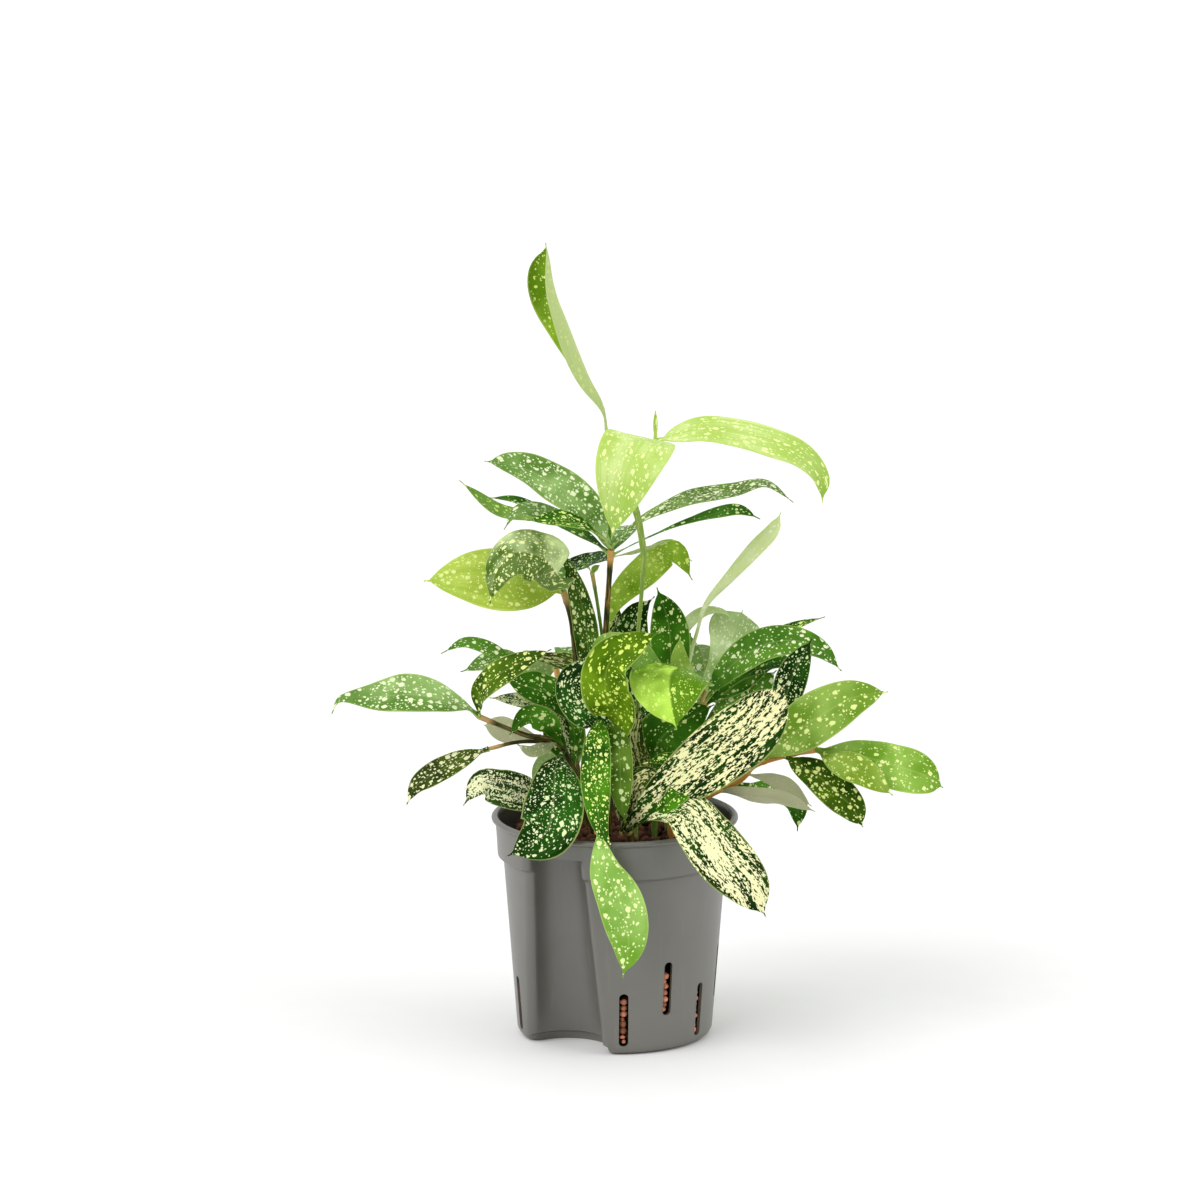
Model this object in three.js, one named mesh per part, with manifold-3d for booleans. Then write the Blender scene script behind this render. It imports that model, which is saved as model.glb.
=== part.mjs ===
// A potted gold dust dracaena: a slotted hydroculture pot, clay granulate and leafy shoots.
// Millimetres, +Z up, +X to the right and +Y to the back; the origin is the middle of the pot's base.
import * as THREE from "three";
import { mergeVertices } from "three/addons/utils/BufferGeometryUtils.js";
import Module from "manifold-3d";

const wasm = await Module();
wasm.setup();

// Driving dimensions of the pot. The rim is the 130 mm of a common culture pot.
const RIM_RADIUS = 65;
const POT_HEIGHT = 118;
const BASE_RADIUS = 46;
const WALL = 1.8;
const FLOOR = 3;
const CORNER_RADIUS = 51.6;
const CORNER_HEIGHT = 5;
const COLLAR_RADIUS = 62.9;
const COLLAR_HEIGHT = 21;
const COLLAR_STEP = 3.2;
const LIP_HEIGHT = 3;
const POT_FACETS = 40;
const SHOULDER = { radius: 58.6, height: POT_HEIGHT - COLLAR_HEIGHT - COLLAR_STEP };

// The scooped channel for a water gauge runs down the front left, under the collar.
const CHANNEL_AZIMUTH = THREE.MathUtils.degToRad(-33);
const CHANNEL_TOP = { radius: 15, reach: 57, height: 107 };
const CHANNEL_BASE = { radius: 21, reach: 46 };
const CHANNEL_FACETS = 18;
const CHANNEL_NOTCH = { margin: 2, height: 4 };

// Drainage slots stand round the wall in two heights, and none crosses the channel.
const SLOT_WIDTH = 4.2;
const SLOT_HEIGHT = 29;
const SLOT_LOW = 5;
const SLOT_HIGH = 20.5;
const SLOT_STEP = THREE.MathUtils.degToRad(360 / 14);
const FIRST_SLOT = THREE.MathUtils.degToRad(5);
const SLOT_PATTERN = "LHLHLHHLHLHL";

// Granulate: its surface is raised in granules by a rule, larger than life.
const CLEARANCE = 0.35;
const FACET_ROOM = 0.15;
const SOIL_TOP = 105;
const GRANULE_COLUMNS = 34;
const GRANULE_RISE = 5;
const GRANULE_RINGS = 6;
const RING_SHRINK = 0.8;
const SLOT_INSET = 2.4;
const SLOT_ZONE_TOP = 54;
const SLOT_ROWS = 5;
const HOLE_MARGIN = 0.8;
const HOLE_SIDES = 8;

// Leaves: the rows along a blade, its thickness and the width from which it has four facets across.
const BLADE_THICKNESS = 0.75;
const PETIOLE_THICKNESS = 1.5;
const PETIOLE_END = 0.1;
const ROWS = [0, 0.12, 0.28, 0.45, 0.62, 0.78, 0.9, 1];
const NARROW_ROWS = [0, 0.2, 0.5, 0.8, 1];
const WIDE_BLADE = 31;
const NARROW_BLADE = 8;
const TIGHT_CURL = 40;
const WAVE_CYCLES = 1.6;
const WAVE_SHIFT = 2.4;
const STALK_SIDES = 5;
const STALK_STEP = 26;

// A leaf: its name, full width, points along the midrib (across, depth, up) and its shape.
// face is where the upper side looks at the base, tipFace at the tip; curl bends it across, in degrees.
function leaf(name, width, points, shape) {
  const given = { curl: 0, wave: 0, widest: 0.5, point: 1, ...shape };
  return { name, width, points, tipFace: given.face, ...given };
}

// Each shoot: its canes as points with a radius (across, depth, up, radius), and its leaves.
const SHOOTS = [
  {
    name: "main_shoot",
    colour: 0x4e8a3a,
    canes: [
      [[-3, 6, 94, 1.7], [-3, 6, 104, 1.7], [-3, 6, 113, 1.7], [-5, 6, 178, 1.6], [-5, 6, 210, 1.5],
        [-3, 5, 243, 1.4], [-2, 4, 259, 1.6]],
      [[-2, 4, 259, 1.5], [-3, 8, 282, 1.1], [-4, 8, 303, 1], [-4, 8, 321, 0.9]],
      [[-5, 6, 183, 1.1], [-6, 15, 203, 0.9], [-9, 19, 226, 0.9], [-12, 19, 244, 1]],
    ],
    leaves: [
      leaf("top_leaf", 32, [[-4, 8, 319], [-6, 8, 334], [-14, 8, 350], [-25, 8, 378], [-33, 8, 399],
        [-36, 8, 421]],
        { face: [-1, 0.35, 0], tipFace: [-0.8, -0.62, 0], curl: 80, widest: 0.64, point: 0.6 }),
      leaf("crown_left_high", 25, [[-2, 4, 260], [-11, 2, 279], [-30, 0, 294], [-51, -3, 305],
        [-68, -5, 308]],
        { face: [-0.3, -0.75, 0.7], tipFace: [0, -0.6, 1],
          curl: 10, wave: 0.7, widest: 0.55, point: 0.8 }),
      leaf("crown_left_near", 19, [[-2, 4, 260], [-12, -8, 273], [-28, -15, 279], [-46, -18, 279]],
        { face: [0, -0.35, 1], curl: 10, wave: 0.5 }),
      leaf("crown_left_bent", 14, [[-2, 4, 260], [-14, 7, 270], [-33, 4, 278], [-50, 0, 281],
        [-58, -2, 271]],
        { face: [0, -0.1, 1], tipFace: [-1, -0.5, 0.3], curl: 8, wave: 0.5, widest: 0.6 }),
      leaf("crown_left_far", 13, [[-2, 4, 257], [-20, 20, 266], [-37, 26, 274], [-54, 28, 281],
        [-67, 28, 282]],
        { face: [0, -0.05, 1], tipFace: [0, -0.3, 1], curl: 10, wave: 0.5 }),
      leaf("crown_left_thin", 15, [[-2, 4, 256], [-19, 26, 265], [-37, 36, 269], [-61, 40, 272],
        [-82, 40, 289]],
        { face: [0, -0.1, 1], tipFace: [-0.2, -0.3, 1], curl: 20, widest: 0.62 }),
      leaf("crown_left_low", 15, [[-2, 4, 254], [-14, 23, 249], [-27, 36, 246]],
        { face: [0, -0.7, 0.8], curl: 10, wave: 0.6 }),
      leaf("crown_right_high", 17, [[-2, 4, 261], [14, 14, 273], [39, 22, 283], [63, 26, 286],
        [79, 26, 290], [94, 25, 280]],
        { face: [0, -0.12, 1], tipFace: [0.3, -0.3, 1], curl: 6, wave: 0.6, widest: 0.55 }),
      leaf("crown_right_low", 10, [[-2, 4, 256], [16, 4, 265], [39, 6, 274], [64, 6, 280], [76, 6, 275]],
        { face: [0, 0.08, 1], tipFace: [0.2, -0.6, 0.9], curl: 8, wave: 0.4, widest: 0.72 }),
      leaf("crown_right_back", 16, [[-2, 4, 255], [13, 30, 253], [28, 46, 252], [41, 52, 243]],
        { face: [0, 0.8, 1], curl: 10, wave: 0.4 }),
      leaf("crown_back", 24, [[-2, 4, 256], [0, 40, 261], [1, 68, 258], [2, 92, 243]],
        { face: [0, 0.1, 1], tipFace: [0, 1, 0.4], curl: 10, wave: 0.6 }),
      leaf("mid_right", 17, [[-5, 6, 207], [-1, 21, 225], [14, 33, 240], [31, 38, 251], [41, 36, 236]],
        { face: [-0.4, -0.8, 0.5], tipFace: [0.4, -0.8, 0.4], curl: 10, wave: 0.6, widest: 0.56 }),
      leaf("bud_left", 4, [[-12, 19, 243], [-14, 17, 247], [-17, 16, 249]],
        { face: [0, -0.4, 1], curl: 10 }),
      leaf("bud_right", 4, [[-12, 19, 243], [-10, 21, 246], [-8, 22, 247]],
        { face: [0, -0.4, 1], curl: 10 }),
    ],
  },
  {
    name: "lime_shoot",
    colour: 0xb8d96a,
    canes: [
      [[11, -4, 94, 1.3], [11, -4, 104, 1.3], [11, -4, 113, 1.3], [12, -6, 159, 1], [12, -8, 213, 1],
        [14, -9, 240, 1.1], [15, -10, 258, 1.5], [13, -11, 274, 1.8], [10, -12, 291, 1.7],
        [15, -12, 309, 1.4], [21, -12, 320, 1.5]],
    ],
    leaves: [
      leaf("lime_front", 37, [[21, -12, 320], [17, -32, 325], [12, -52, 326], [6, -63, 316],
        [-2, -62, 278]],
        { face: [0, -0.5, 1], tipFace: [0, -1, 0.15], curl: 5, wave: 0.5, widest: 0.42, point: 1.15 }),
      leaf("lime_right", 25, [[21, -12, 320], [44, -10, 325], [72, -8, 321], [97, -8, 311],
        [107, -10, 300], [108, -12, 287]],
        { face: [0, -0.45, 1], tipFace: [0.5, -0.5, 0.7],
          curl: 8, wave: 0.6, widest: 0.42, point: 0.65 }),
      leaf("lime_spear", 2.8, [[21, -12, 320], [21, -12, 328], [21, -12, 336]],
        { face: [0, -1, 0], curl: 60 }),
      leaf("lime_back", 28, [[20, -12, 319], [17, 18, 309], [12, 44, 296], [10, 58, 277]],
        { face: [0, -0.1, 1], tipFace: [0, 1, 0.3], curl: 14, wave: 0.5 }),
    ],
  },
  {
    name: "left_shoot",
    colour: 0x8fb84e,
    canes: [
      [[-14, 14, 94, 1.7], [-14, 14, 104, 1.7], [-14, 14, 113, 1.7], [-18, 14, 171, 1.6],
        [-21, 13, 203, 1.5], [-23, 12, 220, 1.4], [-27, 10, 236, 1.6]],
    ],
    leaves: [
      leaf("left_lime", 33, [[-27, 10, 235], [-44, 0, 241], [-72, -4, 246], [-100, -4, 244]],
        { face: [0, -0.9, 0.5], tipFace: [0, -1, 0.3], curl: -8, wave: 0.9, widest: 0.45, point: 1.05 }),
      leaf("left_over", 30, [[-27, 10, 236], [-30, -8, 248], [-38, -20, 260], [-52, -27, 264],
        [-61, -29, 256], [-65, -28, 237]],
        { face: [-0.1, -0.8, 0.75], tipFace: [-0.6, -0.8, 0.3], curl: -30, wave: 0.5, widest: 0.48 }),
      leaf("left_strap", 14, [[-18, 14, 170], [-14, 4, 203], [-18, 0, 233], [-28, -2, 262]],
        { face: [-0.2, -1, 0.1], tipFace: [-0.5, -1, 0.2], curl: 16, wave: 0.4 }),
      leaf("left_streaked", 14, [[-18, 14, 171], [-12, 16, 186], [-23, 16, 195], [-45, 10, 200]],
        { face: [0, -0.5, 0.9], curl: 10, wave: 0.5, widest: 0.6 }),
      leaf("left_back", 26, [[-27, 10, 236], [-35, 43, 244], [-44, 66, 241], [-51, 86, 223]],
        { face: [0, 0, 1], tipFace: [0, 1, 0.4], curl: 12, wave: 0.6 }),
    ],
  },
  {
    name: "spear_shoot",
    colour: 0x9fbf78,
    canes: [
      [[28, 18, 94, 1.5], [28, 18, 104, 1.5], [28, 18, 113, 1.5], [34, 22, 153, 1.4], [38, 22, 192, 1.4]],
    ],
    leaves: [
      leaf("spear", 10.5, [[38, 22, 192], [43, 21, 210], [48, 20, 226], [61, 18, 242], [75, 16, 258],
        [83, 15, 267], [87, 14, 277]],
        { face: [0, -1, 0.2], tipFace: [0.2, -1, 0.2], curl: -70, widest: 0.76, point: 0.5 }),
      leaf("spear_arch", 11, [[36, 22, 174], [33, 40, 203], [46, 46, 216], [58, 48, 216], [65, 48, 207]],
        { face: [0, 0.15, 1], tipFace: [0.5, -0.2, 1], curl: 10, wave: 0.4, widest: 0.6 }),
      leaf("spear_grey", 27, [[36, 22, 174], [53, 42, 187], [60, 48, 197], [63, 52, 204], [68, 54, 216]],
        { face: [0.1, -1, 0.3], curl: 12, wave: 0.6, widest: 0.82, point: 0.4 }),
      leaf("spear_dark", 21, [[35, 22, 160], [30, 12, 195], [28, 10, 219], [22, 8, 238]],
        { face: [0, -1, 0.2], curl: 12, wave: 0.5, widest: 0.6, point: 0.9 }),
      leaf("spear_low", 15, [[36, 22, 167], [40, 32, 189], [40, 34, 208]],
        { face: [0.1, -1, 0.2], curl: 14, wave: 0.4 }),
      leaf("cane_behind_right", 21, [[33, 21, 142], [9, 26, 198], [11, 28, 218], [21, 28, 229]],
        { face: [-0.1, -1, 0.3], curl: 14, wave: 0.5, widest: 0.6, point: 0.9 }),
      leaf("cane_behind_left", 15, [[32, 21, 137], [4, 26, 184], [1, 29, 213], [0, 29, 231]],
        { face: [-0.1, -1, 0.2], curl: 14, wave: 0.5 }),
    ],
  },
  {
    name: "left_branch",
    colour: 0x5a8a46,
    canes: [
      [[-12, 0, 94, 1.6], [-12, 0, 104, 1.6], [-12, 0, 113, 1.6], [-19, -4, 137, 1.5],
        [-31, -10, 159, 1.5], [-46, -12, 163, 1.3], [-58, -14, 168, 1.2], [-71, -16, 174, 1.3]],
      [[-31, -10, 159, 1.2], [-50, -14, 160, 1], [-66, -17, 157, 0.9]],
    ],
    leaves: [
      leaf("far_left", 25, [[-71, -16, 174], [-78, -18, 180], [-101, -22, 187], [-127, -22, 186],
        [-144, -20, 184], [-148, -18, 176]],
        { face: [-0.1, -0.6, 1], tipFace: [-0.3, -0.8, 0.6],
          curl: 10, wave: 0.8, widest: 0.4, point: 1.7 }),
      leaf("left_curl", 16, [[-71, -16, 174], [-71, -26, 188], [-63, -34, 199], [-50, -36, 207],
        [-33, -34, 214]],
        { face: [-0.5, -0.8, 0.5], tipFace: [0, -0.8, 0.7], curl: 10, wave: 0.5, widest: 0.45 }),
      leaf("left_mid_high", 10, [[-30, -10, 158], [-45, -4, 185], [-60, -6, 204], [-78, -8, 212],
        [-91, -8, 206]],
        { face: [0, -0.5, 1], tipFace: [-0.2, -0.6, 1], curl: 10, wave: 0.5, widest: 0.66 }),
      leaf("left_mid_low", 14, [[-30, -10, 158], [-42, 4, 183], [-59, 4, 200], [-81, 2, 194]],
        { face: [-0.1, -0.7, 0.8], curl: 10, wave: 0.5, widest: 0.66 }),
      leaf("left_deep_dark", 21, [[-22, -6, 145], [-20, 2, 168], [-30, -2, 181], [-43, -10, 188],
        [-58, -14, 193]],
        { face: [0, -0.8, 0.7], curl: 12, wave: 0.5, widest: 0.66 }),
      leaf("left_edge_strip", 16, [[-22, -6, 145], [-30, 6, 170], [-48, 2, 178], [-66, -2, 181]],
        { face: [0, -0.3, 1], curl: 8, wave: 0.5, widest: 0.66 }),
      leaf("left_small_dark", 13, [[-28, -9, 156], [-35, -18, 171], [-46, -24, 176], [-55, -28, 167]],
        { face: [-0.2, -0.9, 0.6], tipFace: [-0.6, -0.8, 0.2], curl: 10, wave: 0.4 }),
      leaf("left_small_under", 15, [[-39, -11, 162], [-54, 0, 162], [-69, 8, 164]],
        { face: [0, 1, 0.2], curl: 8, wave: 0.4, widest: 0.6, point: 0.7 }),
      leaf("left_drop", 7, [[-31, -10, 159], [-37, -19, 158], [-44, -23, 157], [-51, -24, 161]],
        { face: [-0.1, -0.9, 0.5], curl: 10, wave: 0.3 }),
      leaf("left_inner", 22, [[-21, -5, 142], [-26, 8, 157], [-31, 13, 168], [-39, 13, 164]],
        { face: [-0.1, -1, 0.4], curl: 12, wave: 0.5 }),
      leaf("low_left", 14, [[-66, -17, 157], [-78, -19, 153], [-92, -21, 146], [-104, -21, 138],
        [-109, -21, 128]],
        { face: [-0.2, -0.7, 0.7], tipFace: [-0.5, -0.8, 0.2], curl: 8, wave: 0.6, widest: 0.46 }),
      leaf("low_left_front", 20, [[-20, -5, 140], [-40, -24, 134], [-59, -34, 140], [-70, -38, 143],
        [-79, -40, 132]],
        { face: [-0.1, -0.8, 0.6], tipFace: [-0.5, -0.8, 0.1], curl: 8, wave: 0.6, widest: 0.56 }),
      leaf("rim_left", 33, [[-27, -9, 154], [-31, -34, 151], [-32, -52, 138], [-36, -67, 124],
        [-56, -74, 113]],
        { face: [-0.1, -1, 0.4], tipFace: [-0.2, -1, 0.1], curl: -12, wave: 0.8, widest: 0.56 }),
    ],
  },
  {
    name: "front_shoot",
    colour: 0x78a83c,
    canes: [
      [[-5, -14, 94, 1.6], [-5, -14, 104, 1.6], [-5, -14, 113, 1.6], [-6, -18, 140, 1.5],
        [-7, -22, 177, 1.5]],
      [[-5, -16, 117, 1.4], [-8, -38, 121, 1.5], [-9, -57, 122, 1.7]],
    ],
    leaves: [
      leaf("front_long", 16, [[-7, -22, 177], [-9, -42, 170], [-10, -55, 147], [-7, -67, 126],
        [-1, -73, 117]],
        { face: [-0.1, -0.9, 0.4], tipFace: [0, -1, 0.1], curl: -10, wave: 0.6, widest: 0.46 }),
      leaf("front_half", 14, [[-7, -22, 177], [1, -35, 169], [3, -50, 144], [5, -55, 126]],
        { face: [0.15, -1, 0.2], curl: -12, wave: 0.4 }),
      leaf("rim_front", 24, [[-9, -57, 122], [-8, -69, 121], [-5, -79, 107], [3, -82, 90],
        [7, -81, 69], [4, -77, 49]],
        { face: [0, -0.9, 0.6], tipFace: [0, -1, 0.05], curl: -12, wave: 0.7, widest: 0.55 }),
      leaf("front_dark_left", 19, [[-6, -19, 146], [-8, -28, 174], [-18, -31, 182], [-22, -32, 195],
        [-14, -30, 204], [-6, -28, 209]],
        { face: [-0.3, -1, 0.2], curl: 12, wave: 0.5, widest: 0.6 }),
      leaf("front_lime", 26, [[-7, -20, 156], [2, -33, 175], [-5, -46, 195], [-3, -49, 210],
        [9, -51, 220], [23, -46, 226]],
        { face: [-0.5, -0.9, 0.2], tipFace: [0, -0.9, 0.6], curl: 12, wave: 0.5, point: 0.9 }),
    ],
  },
  {
    name: "centre_shoot",
    colour: 0x6fa834,
    canes: [
      [[21, 2, 94, 1.6], [21, 2, 104, 1.6], [21, 2, 113, 1.6], [26, 2, 147, 1.5], [45, 0, 179, 1.3],
        [48, -2, 185, 1.3]],
    ],
    leaves: [
      leaf("centre_lime", 46, [[48, -2, 185], [40, -14, 197], [32, -32, 204], [28, -47, 201],
        [29, -56, 190], [32, -60, 177]],
        { face: [-0.2, -0.4, 1], tipFace: [-0.1, -1, 0.2], curl: -24, wave: 0.5, point: 0.9 }),
      leaf("centre_star", 11, [[45, 0, 179], [34, -16, 203], [34, -22, 218]],
        { face: [0, -1, 0.3], curl: 10, wave: 0.3 }),
      leaf("centre_fold", 16, [[45, 0, 179], [20, -26, 202], [7, -32, 215], [-6, -34, 218],
        [-14, -36, 206]],
        { face: [-0.1, -0.8, 0.7], curl: -10, wave: 0.4 }),
      leaf("centre_dark", 28, [[23, 2, 130], [23, -17, 161], [36, -18, 172], [52, -18, 181]],
        { face: [0, -1, 0.3], curl: 14, wave: 0.5 }),
      leaf("centre_streaked", 13, [[23, 2, 125], [10, -18, 159], [13, -14, 179]],
        { face: [0, -1, 0.2], curl: 14, wave: 0.3 }),
    ],
  },
  {
    name: "variegated_shoot",
    colour: 0xcfd0a0,
    canes: [
      [[8, -20, 94, 1.8], [8, -20, 104, 1.8], [8, -20, 113, 1.8], [7, -23, 113, 1.8], [4, -28, 115, 1.7]],
    ],
    leaves: [
      leaf("cream_broad", 34, [[4, -28, 115], [10, -42, 125], [23, -50, 139], [39, -53, 152],
        [55, -56, 165], [71, -57, 178], [83, -54, 192], [89, -52, 200]],
        { face: [0, -1, 0.25], tipFace: [0.1, -1, 0.15], curl: 12, wave: 0.8, widest: 0.64, point: 0.6 }),
      leaf("cream_hanging", 31, [[4, -28, 115], [19, -44, 131], [36, -60, 136], [46, -76, 128],
        [57, -88, 115], [69, -93, 102], [78, -92, 85]],
        { face: [0.2, -0.7, 0.9], tipFace: [0.3, -1, 0.1],
          curl: -12, wave: 0.8, widest: 0.6, point: 0.6 }),
      leaf("olive_small", 16, [[4, -28, 115], [5, -39, 133], [10, -43, 145], [18, -45, 150],
        [23, -45, 145]],
        { face: [-0.3, -0.9, 0.2], curl: -14, wave: 0.4 }),
      leaf("bright_tip", 13, [[5, -26, 114], [30, -56, 139], [39, -38, 149], [27, -42, 157],
        [14, -47, 156]],
        { face: [0, -0.9, 0.5], tipFace: [-0.2, -0.8, 0.5], curl: 10, wave: 0.3, widest: 0.62 }),
    ],
  },
  {
    name: "right_branch",
    colour: 0x86a85e,
    canes: [
      [[30, -2, 94, 1.8], [30, -2, 104, 1.8], [30, -2, 113, 1.8], [45, -3, 126, 1.7],
        [67, -4, 138, 1.6], [73, -5, 145, 1.7], [97, -8, 153, 1.5], [105, -10, 155, 1.7]],
      [[105, -10, 156, 0.7], [107, -12, 163, 0.5], [112, -13, 169, 0.5], [118, -13, 168, 0.4]],
    ],
    leaves: [
      leaf("right_light", 28, [[78, -6, 148], [89, -11, 160], [105, -16, 173], [125, -15, 184],
        [143, -10, 186]],
        { face: [0.1, -0.9, 0.5], tipFace: [0.1, -0.8, 0.6],
          curl: 12, wave: 0.8, widest: 0.46, point: 0.9 }),
      leaf("right_end", 27, [[105, -10, 155], [124, -15, 154], [145, -19, 149], [163, -20, 143],
        [172, -17, 136]],
        { face: [0, -0.8, 0.6], tipFace: [0.2, -0.7, 0.7],
          curl: -10, wave: 0.6, widest: 0.6, point: 0.55 }),
      leaf("right_end_near", 16, [[105, -10, 155], [117, -24, 152], [131, -32, 147], [145, -34, 136]],
        { face: [0, -0.9, 0.5], curl: -8, wave: 0.4 }),
      leaf("right_drop", 19, [[89, -7, 151], [96, -14, 148], [106, -18, 143], [117, -22, 134],
        [124, -23, 127], [130, -22, 116]],
        { face: [0.2, -0.9, 0.4], tipFace: [0.2, -1, 0.1],
          curl: 10, wave: 0.5, widest: 0.52, point: 0.7 }),
      leaf("right_under", 21, [[55, -3, 131], [68, -12, 131], [85, -18, 131], [105, -20, 124]],
        { face: [0, 0.8, 1], curl: 6, wave: 0.4, widest: 0.42 }),
      leaf("right_under_thin", 14, [[69, -4, 140], [81, 6, 136], [93, 12, 128], [104, 12, 119]],
        { face: [0, 0.8, 1], curl: 6, wave: 0.3 }),
      leaf("right_bright_tip", 12, [[63, -4, 135], [83, 20, 127], [96, 26, 118], [97, 26, 102]],
        { face: [0, -0.9, 0.4], curl: 8, wave: 0.3, widest: 0.66 }),
    ],
  },
  {
    name: "right_shoot",
    colour: 0x3f7a38,
    canes: [
      [[33, 30, 94, 1.7], [33, 30, 104, 1.7], [33, 30, 113, 1.7], [42, 26, 141, 1.5], [47, 14, 176, 1.4]],
      [[42, 26, 141, 1.2], [63, 8, 149, 1.1], [77, 4, 148, 1.1]],
    ],
    leaves: [
      leaf("right_high", 19, [[47, 14, 176], [59, 8, 194], [77, 2, 208], [93, 2, 211], [108, 3, 206],
        [119, 4, 194]],
        { face: [0, -0.7, 0.7], tipFace: [0.3, -0.8, 0.5],
          curl: 8, wave: 0.6, widest: 0.45, point: 0.9 }),
      leaf("right_high_back", 14, [[47, 14, 175], [72, 30, 199], [95, 30, 212], [111, 28, 218]],
        { face: [0, -0.3, 1], curl: 12, wave: 0.3 }),
      leaf("right_shade", 20, [[46, 15, 172], [63, 16, 184], [83, 14, 197], [97, 10, 194]],
        { face: [0, -0.5, 0.9], curl: 12, wave: 0.5 }),
      leaf("right_shade_low", 20, [[45, 20, 161], [66, 10, 175], [85, 6, 194]],
        { face: [0, -0.9, 0.4], curl: 10, wave: 0.4 }),
      leaf("right_up", 17, [[77, 4, 148], [87, -2, 173], [94, -8, 196], [103, -12, 215]],
        { face: [-0.2, -1, 0.1], curl: 14, wave: 0.5, widest: 0.6 }),
    ],
  },
  {
    name: "back_left_shoot",
    colour: 0x467a3a,
    canes: [
      [[-16, 36, 94, 1.6], [-16, 36, 104, 1.6], [-16, 36, 113, 1.6], [-23, 42, 148, 1.5],
        [-29, 48, 174, 1.4], [-31, 50, 185, 1.4]],
    ],
    leaves: [
      leaf("back_left_out", 24, [[-31, 50, 185], [-35, 76, 187], [-40, 100, 177], [-43, 114, 158]],
        { face: [0, 0.1, 1], tipFace: [0, 1, 0.5], curl: 12, wave: 0.6, widest: 0.52 }),
      leaf("back_left_up", 24, [[-31, 50, 185], [-23, 80, 190], [-16, 108, 180], [-13, 128, 159]],
        { face: [0, 0.1, 1], tipFace: [0, 1, 0.5], curl: 12, wave: 0.6, widest: 0.52 }),
      leaf("back_left_in", 22, [[-29, 48, 174], [-9, 78, 168], [2, 104, 154], [4, 116, 136]],
        { face: [0, 0.2, 1], tipFace: [0, 1, 0.5], curl: 12, wave: 0.6, widest: 0.52 }),
      leaf("back_left_low", 24, [[-23, 42, 148], [-28, 74, 134], [-35, 98, 113], [-37, 106, 93]],
        { face: [0, 0.3, 1], tipFace: [0, 1, 0.3], curl: -10, wave: 0.6, widest: 0.52 }),
    ],
  },
  {
    name: "back_right_shoot",
    colour: 0x52803e,
    canes: [
      [[18, 34, 94, 1.6], [18, 34, 104, 1.6], [18, 34, 113, 1.6], [20, 40, 149, 1.5],
        [19, 46, 174, 1.4], [18, 50, 189, 1.4]],
    ],
    leaves: [
      leaf("back_right_up", 24, [[18, 50, 189], [14, 80, 194], [10, 108, 183], [7, 126, 160]],
        { face: [0, 0.1, 1], tipFace: [0, 1, 0.5], curl: 12, wave: 0.6, widest: 0.52 }),
      leaf("back_right_out", 24, [[18, 50, 189], [35, 76, 190], [47, 102, 177], [53, 118, 157]],
        { face: [0, 0.1, 1], tipFace: [0, 1, 0.5], curl: 12, wave: 0.6, widest: 0.52 }),
      leaf("back_right_side", 24, [[19, 46, 174], [40, 72, 170], [61, 96, 158], [70, 108, 138]],
        { face: [0, 0.2, 1], tipFace: [0.3, 1, 0.5], curl: 12, wave: 0.6, widest: 0.52 }),
      leaf("back_right_low", 24, [[20, 40, 149], [40, 70, 140], [51, 96, 122], [54, 108, 102]],
        { face: [0, 0.3, 1], tipFace: [0.2, 1, 0.4], curl: -10, wave: 0.6, widest: 0.52 }),
      leaf("back_right_mid", 23, [[20, 40, 149], [14, 74, 143], [11, 102, 127], [10, 116, 105]],
        { face: [0, 0.3, 1], tipFace: [0, 1, 0.4], curl: -10, wave: 0.6, widest: 0.52 }),
    ],
  },
];

// A closed geometry as a solid, with its shared vertices merged.
function solidOf(geometry) {
  const bare = new THREE.BufferGeometry();
  bare.setAttribute("position", geometry.getAttribute("position").clone());
  if (geometry.index) bare.setIndex(geometry.index.clone());
  const merged = mergeVertices(bare, 1e-4);
  return new wasm.Manifold(
    new wasm.Mesh({
      numProp: 3,
      vertProperties: new Float32Array(merged.attributes.position.array),
      triVerts: new Uint32Array(merged.index.array),
    }),
  );
}

// The largest body of a solid, without the loose scraps that a cut leaves.
function largest(solid) {
  return solid.decompose().sort((a, b) => b.volume() - a.volume())[0];
}

// A solid as a geometry for a mesh.
function geometryOf(solid) {
  const mesh = solid.getMesh();
  const geometry = new THREE.BufferGeometry();
  geometry.setAttribute("position", new THREE.BufferAttribute(mesh.vertProperties, mesh.numProp));
  geometry.setIndex(new THREE.BufferAttribute(mesh.triVerts, 1));
  const flat = geometry.toNonIndexed();
  flat.computeVertexNormals();
  return flat;
}

// Shares vertices between rows of points and closes the ends, with faces that look outwards.
function skin(positions, triangles) {
  const geometry = new THREE.BufferGeometry();
  geometry.setAttribute("position", new THREE.Float32BufferAttribute(positions, 3));
  geometry.setIndex(triangles);
  return solidOf(geometry);
}

// A solid of revolution round the pot's axis from (radius, height) pairs.
function turned(profile) {
  const points = profile.map(([radius, height]) => new THREE.Vector2(radius, height));
  return solidOf(new THREE.LatheGeometry(points, POT_FACETS).rotateX(Math.PI / 2));
}

// A vector from the pot's axis at an azimuth, which is 0 at the front and grows to the right.
function outward(azimuth) {
  return new THREE.Vector3(Math.sin(azimuth), -Math.cos(azimuth), 0);
}

// The wall's outer radius at a height between the base corner and the shoulder.
function wallRadius(height) {
  const share = (height - CORNER_HEIGHT) / (SHOULDER.height - CORNER_HEIGHT);
  return THREE.MathUtils.lerp(CORNER_RADIUS, SHOULDER.radius, share);
}

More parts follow.
